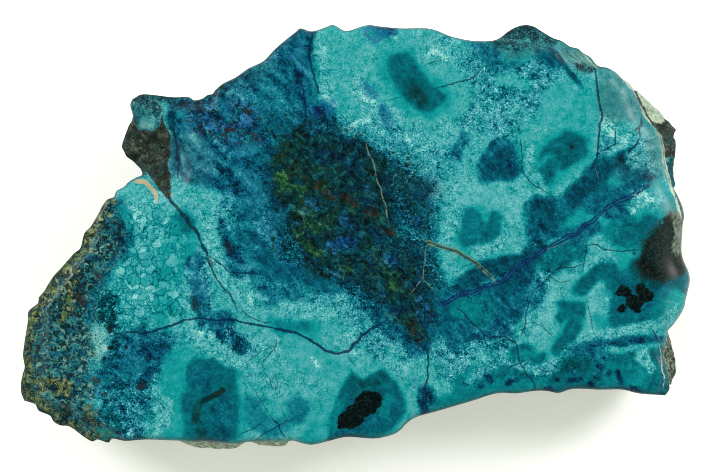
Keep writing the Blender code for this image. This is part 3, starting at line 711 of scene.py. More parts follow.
# %% Slate and pale crusts
SLATE_AND_PALE = [
    ("slate", AREA, 10, "600,68 618,74 636,92 646,112 642,122 622,120 603,116 599,96"),
    ("slate", AREA, 6, "556,44 580,48 600,66 600,76 588,74 568,64"), ("murky", 1.5, 3, "580,66 590,70"),
    ("milky", 6, 5, "606,122 612,134 608,146"), ("milky", 5, 5, "620,142 630,138"),
    ("pale", 2.5, 4, "606,121 613,132 609,142"), ("pale", 1.5, 3, "622,144 630,138"),
    ("mixed", 3, 5, "610,140 600,150"), ("milky", 5, 8, "630,196 652,200"),
    ("milky", 3, 6, "628,211 638,206"), ("pale", 1.5, 2.5, "636,198 644,196 652,200"),
    ("pale", 1.5, 3, "626,213 632,212 639,208"), ("milky", 6, 12, "432,52 450,50"),
    ("pale", 2, 3, "434,54 446,58"), ("milky", 5, 8, "418,130 424,144"), ("milky", 5, 8, "444,126 448,138"),
    ("pale", 1.5, 3, "404,138 410,146"), ("milky", 3, 5, "360,76 358,96 372,106"),
    ("pale", 1.5, 2, "360,82 361,92 370,100"), ("pale", 1.5, 3, "356,124 368,120"),
    ("milky", 3, 5, "392,110 400,122"), ("pale", 1.5, 3, "388,36 396,40"),
    ("pale", 1.5, 3, "322,56 324,76 330,92"), ("milky", 4, 6, "322,50 328,96"),
    ("pale", 1.2, 2.5, "326,96 338,106"), ("milky", 6, 8, "240,290 254,300"),
    ("pale", 1.2, 2, "250,298 256,304"), ("cream", 6, 9, "470,196 494,196 512,206"),
    ("milky", 5, 8, "450,188 453,214 448,240"), ("cream", 4, 7, "516,200 514,226 506,246"),
    ("cream", 4, 7, "514,250 500,246"), ("aqua", 5, 7, "508,222 516,240"),
    ("milky", 4, 7, "478,252 500,242"), ("milky", 3, 6, "530,150 532,172 540,192"),
    ("milky", 2, 7, "484,356 476,370 494,360"), ("cream", 6, 8, "549,306 543,322 539,338"),
    ("milky", 3, 6, "536,300 530,326"), ("cream", 5, 8, "562,276 556,292"),
    ("cream", 5, 5, "594,300 592,314"), ("cream", 4, 6, "545,330 540,346"),
    ("cream", 5, 8, "560,362 582,344"), ("milky", 3, 5, "544,366 560,366"),
    ("milky", 3, 4, "510,366 528,370"), ("pale", 3, 4, "98,336 102,350"), ("milky", 5, 7, "92,346 100,356"),
    ("pale", 1.5, 3, "84,401 97,403"), ("milky", 3, 5, "158,392 166,404 164,424"),
    ("milky", 6, 9, "152,430 160,412"), ("milky", 5, 6, "128,216 136,230"),
    ("pale", 2, 3, "194,328 208,338 226,350"), ("milky", 4, 7, "190,336 216,350 240,362"),
    ("milky", 4, 6, "256,340 272,350"), ("pale", 0.8, 2.5, "311,361 317,366"),
    ("pale", 0.8, 2, "352,353 358,351"), ("flecked", 6, 8, "370,340 384,350 398,352"),
    ("milky", 3, 7, "350,342 360,350"), ("milky", 5, 8, "392,356 400,372"),
    ("milky", 4, 8, "280,310 330,312"), ("milky", 3, 6, "660,324 676,312"),
    ("milky", 3, 5, "654,160 652,168"), ("mixed", 7, 8, "636,158 650,150"),
    ("milky", 4, 7, "168,182 186,188"), ("aqua", 8, 10, "176,196 206,200"),
    ("milky", 3, 6, "200,214 212,232"), ("milky", 5, 8, "218,262 224,276"),
    ("milky", 4, 7, "206,240 216,250"),
]
print(len(SLATE_AND_PALE), "strokes of slate and pale crust")

# %% [markdown]
# Last come the rims: the tooth at the top, the murky crust of the left lobe and the tab of rock at the
# upper left. Then every stroke is laid on in its turn, and the three numbers are kept as maps.

# %% Rims, and the ground as a whole
EDGES = [
    ("tooth", AREA, 8, "494,44 506,16 546,14 560,42 548,50 530,46 514,50"),
    ("murky", 1.5, 5, "508,36 528,28 544,36"), ("pale", 1.6, 2.5, "644,349 648,357 650,370"),
    ("milky", 2.5, 4, "640,354 650,366"), ("pale", 0.6, 1.5, "636,353"),
    # A painted highlight: this small white dot on the tooth stands for a glint of light.
    ("pale", 0.8, 1.5, "529,39 530,42"),
    ("blue teal", AREA, 16,
     "8,462 8,330 36,270 86,212 110,190 126,198 128,226 126,250 118,262 108,276 104,296 106,320 116,340 "
     "108,372 104,396 110,420 120,452"),
    ("deep", AREA, 10, "110,200 122,204 126,226 126,252 112,250 104,226"), ("deep", 5, 8, "100,206 92,222"),
    ("murky", AREA, 14, "12,410 22,330 44,280 92,216 104,226 104,256 84,292 72,330 60,372 40,400"),
    ("murky", 5, 9, "108,300 104,330 110,350"), ("murky", 5, 9, "62,400 84,420 100,430"),
    ("mixed", 8, 10, "80,330 70,350 86,366"), ("mixed", 6, 8, "60,350 52,366"),
    ("lobe", 8, 8, "86,398 108,404"), ("lobe", 9, 10, "108,410 128,426"),
    ("murky", 2, 6, "104,406 116,424"), ("milky", 5, 6, "98,332 103,350 96,360"),
    ("pale", 3, 5, "98,336 102,350"), ("halo", 3, 6, "64,404 72,414"), ("milky", 2.5, 5, "80,400 98,403"),
    ("halo", 3, 5, "100,432 112,440"), ("milky", 2, 4, "70,344 76,350"),
    ("pool dark", 5, 4, "674,166 677,186 684,204"), ("milky", 3, 5, "124,210 132,224 136,230"),
    ("slate", 3, 5, "122,208 132,226"), ("murky", 3, 6, "118,96 136,92 170,96 200,92"),
    ("murky", AREA, 6, "126,100 150,94 160,104 160,132 150,138 134,132 128,116"),
    ("tooth", 7, 6, "136,110 150,122"), ("slate", 5, 5, "142,122 150,128"),
    ("pale", 1.8, 4, "141,125 149,128"), ("milky", 1.2, 3, "149,113 152,118"),
    ("slate", AREA, 8, "640,92 652,108 662,130 664,156 656,158 650,136 642,118 630,98"),
]
ground = np.tile(KINDS["aqua"], (len(points), 1))
ground = lay(ground, wavy, FIELDS + CLOUDS + LOWER_BLUES)
ground = lay(ground, gently, SMOOTH)
ground = lay(ground, wavy, SLATE_AND_PALE)
ground = lay(ground, gently, BAND)
ground = lay(ground, wavy, EDGES)
for name, values in zip(("tone", "blueness", "grit"), ground.T):
    keep(name, values)

# %% [markdown]
# ### Matrix and iron
#
# The darkest part of the face is matrix, where the copper minerals are mixed with rock. Iron stains it
# brown and red, and malachite gives olive green.

# %% Matrix, iron and malachite
MATRIX = [
    (AREA, 22, 0.9,
     "276,140 300,124 322,132 346,134 366,140 384,154 392,176 396,200 396,224 386,244 372,252 352,254 "
     "330,262 312,262 296,250 284,228 276,200 270,170"),
    (AREA, 24, 0.8,
     "290,236 320,250 360,250 396,240 424,262 430,290 424,320 418,342 404,332 388,312 372,296 350,284 "
     "318,282 300,270"),
    (AREA, 12, 0.3, "180,98 200,96 216,116 240,104 256,108 256,140 232,140 204,136 184,114"),
    (AREA, 28, 0.5, "388,150 424,162 436,190 438,222 420,236 400,220 390,182"),
    (AREA, 14, 0.38, "256,112 300,108 344,116 372,136 340,146 300,150 276,152"),
    (AREA, 26, 0.62, "396,236 424,244 436,270 438,300 438,326 426,346 404,334 398,284"),
    (AREA, 14, 0.36, "262,160 280,150 290,200 292,262 272,262 262,214"),
]
WARM = [
    (14, 20, 1.0, "290,160 304,190 318,214"), (8, 14, 0.8, "326,196 352,208"),
    (8, 14, 0.7, "308,236 326,256"), (6, 12, 0.6, "372,212 390,236"), (6, 12, 0.5, "386,276 396,300"),
    (4, 10, 0.5, "417,316 418,340"),
]
BROWN = [
    (1, 3, 0.8, "198,128"), (1.5, 3, 0.8, "226,127 232,129"), (1, 3, 0.7, "253,136 258,139"),
    (1, 3, 0.6, "183,103 192,106"), (1.2, 3, 0.7, "245,109 249,111"), (2, 5, 0.9, "317,187"),
    (1.6, 5, 0.75, "326,192 332,196"), (1.5, 4, 0.7, "342,199 354,204"), (2, 5, 0.7, "368,210 373,214"),
    (1.5, 4, 0.9, "384,230 392,236"), (1.5, 4, 0.6, "350,205"), (1, 3, 0.8, "73,376"),
    (1.5, 3, 0.9, "96,380"), (1.5, 2.5, 1.0, "107,395"), (2, 3.5, 0.9, "138,388 143,385"),
    (2, 5, 0.6, "93,272 99,278"), (2, 6, 0.7, "76,292 82,300"), (1.5, 3.5, 0.7, "73,313"),
    (1.5, 5, 0.6, "417,318 418,342"), (2, 5, 0.5, "62,405 70,412"),
]
OLIVE = [
    (3, 6, 0.95, "283,176 286,186"), (2.5, 6, 0.8, "296,187 302,190"), (2, 6, 0.8, "318,186"),
    (3, 8, 0.5, "300,204 316,226"), (3, 8, 0.5, "372,252 384,268 398,286"), (2, 5, 0.8, "305,248 310,252"),
    (2, 5, 0.75, "317,254"), (3, 7, 0.7, "393,282"), (3, 8, 0.5, "350,265 340,272"),
    (3, 7, 0.55, "392,318"), (2.5, 5, 0.7, "76,276 80,278"), (4, 10, 0.6, "62,300 74,276"),
    (5, 10, 0.8, "36,386 62,388"), (3, 6, 0.7, "90,408 96,424"), (3, 8, 0.5, "60,320 76,290"),
    (1.5, 4, 0.5, "200,88"), (3, 6, 0.45, "300,232 296,244"), (3, 8, 0.5, "512,46 526,40"),
    (4, 8, 0.45, "48,410 80,430"),
]
OLD_WALL_DEPTH = 2.8                  # millimetres over which the olive of the vein's old wall fades inwards
OLD_WALL_END = (140.0, 170.0)         # pixels across the photograph over which it runs out to the right
rim_gap = np.concatenate([gap, np.zeros(len(points) - len(face))])
old_wall = np.exp(-rim_gap / OLD_WALL_DEPTH)
old_wall *= smooth_step((OLD_WALL_END[1] - place[:, 0]) / (OLD_WALL_END[1] - OLD_WALL_END[0]))
keep("matrix", strongest(wavy, MATRIX))
keep("warm", strongest(wavy, WARM))
keep("brown", strongest(wavy, BROWN))
keep("olive", np.maximum(strongest(wavy, OLIVE), old_wall))

# %% [markdown]
# ### Blue spots and skins
#
# Azurite makes strong blue spots, and a web of dark lines lies over the upper left. The slate shoulder and
# the tooth have a dull skin, and on the left the aqua is broken into a mosaic of small tiles.

# %% Azurite, web, dull skin and mosaic
AZURE = [
    (6, 8, 0.9, "319,112 330,107"), (5, 6, 0.9, "374,33 389,31"), (4, 6, 0.8, "363,86 370,92"),
    (4, 6, 0.7, "384,108 388,122"), (4, 5, 0.7, "228,139 240,149"), (3, 4, 0.8, "246,116 252,117"),
    (3, 4, 0.7, "190,126"), (3, 4, 0.7, "229,105 230,116"), (6, 10, 0.5, "296,50 300,90"),
    (8, 12, 0.4, "250,70 280,46"), (4, 6, 0.8, "305,207 314,206"), (5, 5, 0.9, "330,248 338,245 350,243"),
    (5, 5, 0.9, "384,260 394,262"), (4, 5, 0.8, "345,219 350,223"), (4, 5, 0.7, "336,272 344,270"),
    (4, 7, 0.6, "420,300 430,316"), (3, 4, 0.7, "418,218"), (3, 4, 0.7, "298,222 302,228"),
    (3, 4, 0.6, "380,292"), (3, 5, 0.6, "366,190 372,196"), (5, 8, 0.5, "276,273 296,268"),
    (6, 10, 0.25, "500,150 518,160"), (6, 9, 0.5, "150,350 164,356"), (3, 5, 0.6, "216,184 236,190"),
    (4, 7, 0.5, "456,156"), (3, 6, 0.5, "575,196 584,190"), (3, 5, 0.5, "400,374 426,392"),
    (4, 8, 0.5, "132,350 142,346"), (1.5, 3, 0.5, "590,346 640,342"), (3, 6, 0.5, "146,384 152,372"),
]
DULL = [
    (AREA, 12, 0.9, "598,68 618,72 638,92 648,112 646,122 622,122 602,118"),
    (AREA, 12, 0.9, "644,122 656,128 666,150 666,178 654,172 648,150"),
    (AREA, 10, 0.8, "494,46 506,14 548,12 562,44 540,56 508,56"),
    (AREA, 10, 0.9, "556,44 580,46 602,66 600,76 576,70 562,60"),
    (AREA, 6, 0.9, "122,92 162,92 164,118 152,140 126,138"),
    (AREA, 14, 0.45, "172,128 204,134 216,170 196,184 176,176"),
    (AREA, 14, 0.4, "612,158 648,156 648,178 612,176"), (AREA, 8, 0.7, "662,200 674,196 678,216 668,216"),
    (8, 12, 0.5, "100,335 98,352"), (6, 10, 0.5, "400,180 430,190"), (10, 14, 0.35, "230,80 260,60"),
]
NETWORK = [(AREA, 16, 1.0, "182,96 200,98 216,104 236,98 258,106 266,128 262,146 240,142 216,142 190,134")]
MOSAIC = [
    (AREA, 24, 1.0, "112,230 130,200 160,190 186,236 182,262 186,290 184,322 150,328 112,322 110,280"),
]
for name, marks in {"azure": AZURE, "dull": DULL, "network": NETWORK, "mosaic": MOSAIC}.items():
    keep(name, strongest(wavy, marks))

# %% [markdown]
# ### Hearts, manganese and crusts
#
# Some pools have a dark heart. Manganese oxide sits in round black buds, and a murky area of it lies at the
# right end. The left rim is the vein's old wall, an olive and tan crust. Tan streaks and grey rinds line
# other rims, a pale painted sheen lies on the curved rim beside the murk, and the long crack of the left half
# is inked blue.

# %% Hearts, manganese and crusts
HEARTS = [
    (3, 7, 0.5, "414,90 422,101"), (3, 8, 0.15, "402,68 412,86"), (1.2, 3, 0.8, "572.5,148"),
    (1.6, 3.0, 1.0, "223,390 216,395 205,400"), (2, 5, 0.55, "202,401 198,409 196,420"),
    (3, 8, 0.45, "200,434"), (4, 8, 0.3, "664,322 668,308"),
]
MANGANESE = [
    (4, 2, 1.0, "623,290 627,293"), (2.5, 2, 1.0, "620,293"), (3, 2, 1.0, "641,288 642,291"),
    (4.5, 2, 1.0, "633,300 638,302"), (3, 2, 1.0, "644,298 650,297"), (3, 2, 1.0, "623,309"),
    (2, 2, 1.0, "631,305 638,309"), (2, 2, 1.0, "646,292"), (2, 2, 1.0, "630,296"),
    (6, 2, 1.0, "343,420 349,418"), (5, 2, 1.0, "350,423 357,420"), (6, 2, 1.0, "354,412 362,410"),
    (6, 2, 1.0, "362,402 370,406"), (5, 2, 1.0, "366,397 375,398"), (4, 2, 1.0, "376,402"),
    (3, 2, 1.0, "341,425"),
]
MURK = [
    (AREA, 18, 1.0, "636,264 642,242 654,226 668,212 690,208 690,262 684,276 664,284 642,278"),
    (AREA, 8, 0.7, "640,246 648,238 652,250 644,262"), (1.5, 2.5, 0.9, "111,347"),
    (1.5, 2.5, 0.8, "126,347"), (1.5, 2.5, 0.8, "105,359"), (2, 3, 0.7, "110,330"),
    (1.2, 2.5, 0.7, "634,253"), (1.5, 3, 0.6, "226,244 231,250"), (3, 5, 0.5, "192,300 196,306"),
]
TAN = [
    (1.6, 1.6, 0.9, "137,181 147,184.5 154,190 157,196"), (0.8, 1.6, 0.7, "157,195 158,202"),
    (1.2, 1.6, 0.6, "172,194 174,200"),
]
RIND_AND_SHEEN = [
    (1.0, 2, 0.5, "646,117 652,123"), (2.2, 4, 0.6, "660,132 664,146 665,158"),
    # Painted sheen: this mark lays a pale grey on the curved rim beside the murk.
    (2, 6, 0.55, "677,214 679,234 677,250"),
]
BLUE_INK = [(6, 4, 1.0, "150,332 200,318 234,320 277,329 326,350 347,351 384,322")]
CRUST = [
    (AREA, 34, 0.9,
     "0,470 0,330 30,260 84,205 108,186 120,200 118,226 118,250 108,262 98,280 92,300 92,330 96,350 "
     "92,380 92,400 100,420 112,460"),
]
keep("crust", strongest(wavy, CRUST))
gentle_maps = {"heart": HEARTS, "manganese": MANGANESE, "murk": MURK, "tan": TAN, "rind_and_sheen": RIND_AND_SHEEN}
gentle_maps["blue_ink"] = BLUE_INK
for name, marks in gentle_maps.items():
    keep(name, strongest(gently, marks))

# %% [markdown]
# ### Cracks and veins
#
# A crack is thinner than the mesh's squares, so a map of crack and no crack would break into dots. Instead
# each point keeps its distance to the nearest crack with a sign for the side. Between two points the value
# runs evenly through zero, and the material draws the hairline exactly there.


# %% How a line keeps its side
TAPER_RUN = 7.0           # pixels over which a line grows from its end to its full width
END_WIDTH = 0.4           # share of its width that it has at the very end
KEPT_BESIDE = 1.6         # pixels beside a line over which its width is kept, and fades over as many again


def signed_lines(place, lines):
    """For each point the signed distance to the nearest line, in pixels, and that line's half width there,
    which tapers towards the line's ends and goes to 0 away from it."""
    best = np.full(len(place), np.inf)
    side, half = np.zeros(len(place)), np.zeros(len(place))
    for width, line in lines:
        line = np.array(pixels(line))
        step = np.diff(line, axis=0)
        run = np.linalg.norm(step, axis=1)
        before = np.concatenate([[0.0], np.cumsum(run)])
        for start, move, size, done in zip(line, step, run, before):
            ray = place - start
            share = np.clip(ray @ move / size**2, 0.0, 1.0)
            away = np.linalg.norm(ray - share[:, None] * move, axis=1)
            turn = move[0] * ray[:, 1] - move[1] * ray[:, 0]
            far = done + share * size
            end = np.minimum(far, before[-1] - far)
            grown = END_WIDTH + (1.0 - END_WIDTH) * smooth_step(end / TAPER_RUN)
            closer = away < best
            best[closer] = away[closer]
            side[closer] = (np.where(turn < 0, -1.0, 1.0) * away)[closer]
            half[closer] = (0.5 * width * grown)[closer]
    return side, half * smooth_step(1.0 - (best - half - KEPT_BESIDE) / KEPT_BESIDE)


wandering = bent(place, LINE_BENDS)
print("lines wander by up to", round(np.abs(wandering - place).max(), 1), "pixels")

# %% [markdown]
# The long cracks of the left and the middle are the widest. Each list gives a line's width and its points,
# all in pixels of the photograph.

# %% Cracks and hairlines
CRACKS = [
    (3.4, "160,186 167,194 173,203 185,217 194,229 202,244"), (2.6, "200,240 206,252 210,264 217,281"),
    (1.5, "215,277 222,286 230,293 237,310"), (1.2, "210,256 220,264 230,273 245,273 260,275"),
    (2.2, "127,332 142,334 155,331 170,326 185,320 200,318 216,321 234,320 250,324 260,325 277,329"),
    (2.8, "270,328 277,329 290,331 309,340 326,350 338,354 347,351 355,344 362,336 370,329 381,323"),
    (2.0, "417,342 427,350 428,364 426,386 425,404 428,413"), (1.6, "314,26 309,50 310,66 317,84 321,96"),
    (1.4, "292,59 297,72 301,84 305,108 306,125"),
    (2.0, "593,64 597,84 599,100 602,113 599,136 597,158 590,173"),
    (1.1, "521,138 523,155 522,172 535,185 549,194"), (2.8, "642,118 640,126 634,130"),
    (2.4, "638,126 640,136"), (1.4, "640,136 634,147 627,158"), (1.4, "599,152 607,148 615,144 616,128"),
    (1.2, "438,88 457,83 472,78 483,67"), (1.3, "270,416 278,425 286,438"),
    (1.3, "583,264 570,268 558,269 548,277 540,285 529,292"),
    (1.3, "529,292 528,305 527,311 525,322 522,338"), (1.2, "588,246 598,246 604,250 622,251 640,250"),
    (1.5, "455,305 470,321 477,327 488,337 504,337 517,346 520,363 527,375 534,384 538,394"),
    (1.6, "172,104 173,118 174,130 176,145 178,162 178,180"), (1.5, "651,328 656,334 660,343"),
]
HAIRLINES = [
    (1.0, "238,304 246,314 256,320 275,324"), (1.0, "347,352 352,360 357,369"),
    (0.9, "425,66 439,60.5 446,57"), (0.8, "388,101 396,98 404,96"), (0.9, "412,136 414,126 415,116"),
    (0.9, "278,334 276,345 273,351 265,358 260,366"), (0.8, "260,366 268,378 275,392"),
    (0.8, "272,370 277,382 275,392 278,402"), (0.9, "254,388 262,403 270,416"),
    (1.1, "252,444 263,434 277,427 288,422 298,415"), (1.0, "238,438 252,428 263,421"),
    (0.8, "278,402 283,412 288,422"), (0.7, "240,377 250,375 258,374"), (1.3, "587,240 586,254 583,270"),
    (0.9, "529,320 541,326 555,338"), (1.0, "492,310 500,322 506,332 517,346"),
    (0.8, "588,300 591,316 593,334"), (0.8, "616,331 617,340"), (1.1, "605,213 612,218 615,222"),
    (0.9, "501,236 505,244 507,249"), (0.9, "219,287 226,292 234,296"), (0.9, "236,322 235,334"),
    (0.8, "229,322 228,340 227,362"), (0.8, "238,349 230,360"), (1.0, "157,399 162,404 167,411"),
    (0.9, "537,369 550,372 562,369"), (1.0, "590,176 594,186 598,196"), (1.0, "548,276 560,283 572,280"),
    (1.1, "640,184 646,176 652,168"), (0.8, "380,80 392,76"), (0.8, "520,108 516,122 522,136"),
    (0.8, "530,176 536,164"), (0.8, "604,213 620,206 640,204"), (0.8, "496,258 478,262 461,266"),
    (0.8, "448,258 462,262"), (0.8, "506,332 488,340 470,338"), (0.7, "560,326 566,334"),
    (0.8, "520,362 506,368 494,380"), (0.8, "300,300 304,306"), (0.7, "244,364 262,350 272,348"),
    (0.8, "100,280 110,290"), (0.8, "206,268 214,262 222,262"), (0.7, "564,302 560,290 566,284"),
]
print(len(CRACKS), "cracks and", len(HAIRLINES), "hairlines")

# %% [markdown]
# A violet vein crosses the right half. Pale threads heal some old fractures, fine hatching crosses the
# slate near the top, and pale ridges are drawn in three places. The long one, where the polish bends over
# the edge at the right, is a painted highlight on that rolled shoulder.

# %% Vein, threads, hatching and ridges
VEINS = [
    (5.4,
     "652,184 643,188 628,197 607,207 593,221 576,233 555,243 536,255 521,266 501,282 475,290 460,295 "
     "440,305"),
]
THREADS = [
    (1.2, "365,143 372,160 378,183 384,200 388,222"), (0.9, "427,245 424,262 422,278 414,288 408,295"),
    (0.9, "421,279 428,284 435,290"), (4.4, "424,240 439,246 457,252 472,260 484,270 495,281"),
    (0.8, "541,252 556,246 570,240"), (0.8, "595,168 598,176 600,182"),
]
HATCHING = [
    (0.9, "557,47 566,60 574,66"), (0.9, "562,47 571,58 580,66"), (0.8, "568,49 576,58 586,68"),
    (0.8, "574,50 584,60 592,69"), (0.8, "581,52 590,62 598,70"), (0.7, "586,66 576,62 566,52"),
    (0.7, "600,68 592,62 586,54"),
]
# Pale ridges. The first, long one along the rolled right shoulder is a painted highlight.
RIDGES = [
    (3.2,
     "624,81 634,88 640,99 644,112 650,121 658,128 663,136 665,148 665,160 668,172 671,184 676,200 "
     "682,218"),
    (1.2, "578,48 590,60 599,68"), (1.0, "660,345 663,362 664,388"),
]
all_lines = {"ridge": RIDGES, "crack": CRACKS, "hairline": HAIRLINES, "hatch": HATCHING}
all_lines |= {"vein": VEINS, "thread": THREADS}
for name, lines in all_lines.items():
    side, half = signed_lines(wandering, lines)
    keep(name + "_side", side)
    keep(name + "_half", half)

# %% [markdown]
# ### Bare rock
#
# Two rims are plain broken rock, and so is the whole flank. Rock takes over within the first two rings
# below the rim, except where a glaze of polish runs down over the right end. The breaks in the face keep
# their colours and are only rougher. A thin line of painted shade darkens the face along its rim.

# %% Rock, roughness and painted shade along the rim
BARE_ROCK = [
    (AREA, 6, 1.0,
     "118,128 128,118 140,132 152,134 160,126 165,112 167,130 169,160 170,186 169,200 158,188 150,176 "
     "136,168 120,156"),
    (AREA, 3, 1.0, "638,86 650,84 690,112 694,164 668,164 664,136 648,118 641,100"),
]
PALE_ROCK = [
    (AREA, 5, 1.0, "630,76 650,84 668,106 664,124 652,120 640,98"),
    (AREA, 4, 0.6, "150,430 340,430 340,460 150,460"), (AREA, 4, 0.4, "656,330 690,330 690,400 656,400"),
]
GLAZED = [(8, 4, 1.0, "672,166 678,196 688,222")]
ROCK_RINGS = 2.0          # rings below the rim within which the flank turns to rock
RIM_SHADE_FADE = 0.42           # millimetres over which the dark line along the rim fades
ring_number = np.concatenate([np.zeros(len(face)), np.repeat(np.arange(1.0, RINGS + 1), STATIONS)])
rock_map = np.maximum(strongest(wavy, BARE_ROCK), smooth_step(ring_number / ROCK_RINGS))
keep("pale_rock", strongest(gently, PALE_ROCK))
keep("rock", rock_map * (1.0 - strongest(gently, GLAZED)))
keep("rough", np.concatenate([np.maximum(rock_map[:len(face)], broken), rock_map[len(face):]]))
# Painted shade: the edge map darkens the face in a thin line along its rim.
keep("edge", np.where(ring_number > 0.0, 0.0, np.exp(-(rim_gap / RIM_SHADE_FADE) ** 2)))

# %% [markdown]
# ## Colours
#
# Colours are named as the eye gives them on a screen, from 0 to 255, and turned into the linear light that
# a shader works in. A scale runs through several colours, from dark to light or from one mineral to another.

# %% Colour names
STUDIO_LIGHT = 1.2        # how many times its own albedo a level surface shows in this studio


def paint(red, green, blue):
    """Screen values to albedo: ((s + 0.055) / 1.055) ^ 2.4 for all but the darkest, over the light."""
    screen = np.array([red, green, blue]) / 255.0
    light = np.where(screen <= 0.04045, screen / 12.92, ((screen + 0.055) / 1.055) ** 2.4)
    return (*(light / STUDIO_LIGHT).tolist(), 1.0)


def scale(*stops):
    """A colour scale as (place, colour) pairs, from (place, red, green, blue) stops."""
    return [(stop[0], paint(*stop[1:])) for stop in stops]


HEART_BROWN, HEART_OLIVE = paint(2, 34, 32), paint(20, 36, 22)
BUD_BLACK, BUD_SHINE = paint(2, 12, 13), paint(10, 36, 32)
MURK_BLACK, MURK_OLIVE = paint(0, 5, 6), paint(34, 38, 28)
# The rind grey also paints a sheen on the curved rim at the right end.
TAN_STREAK, RIND_AND_SHEEN_GREY = paint(176, 168, 136), paint(136, 150, 134)
CRACK_INK, CRACK_TEAL, CRACK_BLUE = paint(4, 32, 64), paint(14, 50, 50), paint(2, 28, 70)
VIOLET, VEIN_BLUE = paint(14, 26, 84), paint(4, 58, 98)
THREAD_PALE, THREAD_CORE = paint(104, 132, 112), paint(24, 62, 60)
# The pale of the ridges is mostly a painted highlight on the rolled right shoulder, and the dark of the rim
# is painted shade along the face's edge.
RIDGE_AND_HIGHLIGHT_PALE, HATCH_PALE, RIM_SHADE = paint(196, 212, 190), paint(150, 178, 166), paint(4, 44, 54)
WEB_TEAL, WEB_BROWN = paint(10, 30, 38), paint(52, 36, 34)
MATRIX_BLACK, MATRIX_GLINT, CRUST_BUD = paint(2, 12, 16), paint(150, 170, 150), paint(2, 30, 44)
ROCK_BLACK, ROCK_SCRATCH, ROCK_TEAL = paint(12, 16, 14), paint(146, 158, 142), paint(22, 62, 62)
SAWN_AQUA, SAWN_BLUE = paint(98, 162, 160), paint(48, 104, 128)
SAWN_DARK, SAWN_DUST = paint(34, 78, 86), paint(150, 176, 160)

GREEN_SCALE = scale((0.0, 0, 32, 36), (0.2, 0, 68, 76), (0.35, 0, 97, 108), (0.47, 0, 121, 128),
                    (0.62, 14, 150, 152), (0.72, 64, 162, 165), (0.80, 92, 176, 178),
                    (0.9, 128, 202, 198), (1.0, 172, 222, 214))
BLUE_SCALE = scale((0.0, 0, 22, 46), (0.2, 0, 50, 78), (0.35, 0, 76, 104), (0.47, 14, 98, 122),
                   (0.62, 32, 120, 146), (0.72, 62, 146, 164), (0.80, 80, 166, 176),
                   (0.9, 112, 192, 196), (1.0, 164, 214, 214))
AZURE_SCALE = scale((0.05, 2, 14, 46), (0.3, 3, 42, 86), (0.55, 10, 82, 128), (0.85, 40, 124, 156))
WEB_SCALE = scale((0.1, 10, 72, 120), (0.45, 44, 116, 162), (0.75, 92, 154, 184))
DULL_SCALE = scale((0.1, 12, 36, 42), (0.4, 30, 84, 94), (0.6, 56, 120, 124), (0.8, 98, 148, 146))
DARK_MATRIX = scale((0.34, 4, 44, 76), (0.43, 4, 50, 66), (0.50, 6, 52, 55), (0.57, 12, 54, 46),
                    (0.63, 28, 48, 34), (0.70, 34, 32, 26))
LIGHT_MATRIX = scale((0.36, 20, 92, 128), (0.48, 26, 106, 116), (0.57, 40, 102, 90), (0.68, 80, 106, 66))
BLUE_MATRIX = scale((0.42, 4, 34, 72), (0.54, 8, 66, 116), (0.66, 30, 104, 150), (0.78, 84, 146, 180))
SEA_CRUST = scale((0.34, 12, 76, 104), (0.46, 30, 102, 114), (0.54, 58, 124, 122), (0.64, 112, 156, 146))
LAND_CRUST = scale((0.34, 44, 80, 66), (0.44, 76, 102, 58), (0.54, 108, 120, 72), (0.66, 160, 166, 126))
SOIL_CRUST = scale((0.36, 6, 40, 58), (0.5, 10, 42, 44), (0.64, 30, 36, 24))
MALACHITE = scale((0.38, 6, 30, 24), (0.52, 18, 60, 36), (0.62, 36, 92, 46), (0.74, 88, 140, 84))
IRON = scale((0.40, 8, 18, 20), (0.54, 32, 26, 22), (0.70, 56, 36, 28))
ROCK_SCALE = scale((0.38, 20, 28, 24), (0.54, 48, 60, 52), (0.72, 112, 122, 104))
PALE_ROCK_SCALE = scale((0.40, 96, 116, 100), (0.55, 150, 168, 146), (0.8, 190, 206, 182))
print("two main colour scales with", len(GREEN_SCALE), "steps each")

# %% [markdown]
# ## A workbench for materials
#
# A material is a tree of nodes. This small class adds the few kinds that the stone needs, so that the
# recipe below reads as a list of layers. Every pattern reads Object coordinates, which never slide over the
# stone, and sizes are given in millimetres.


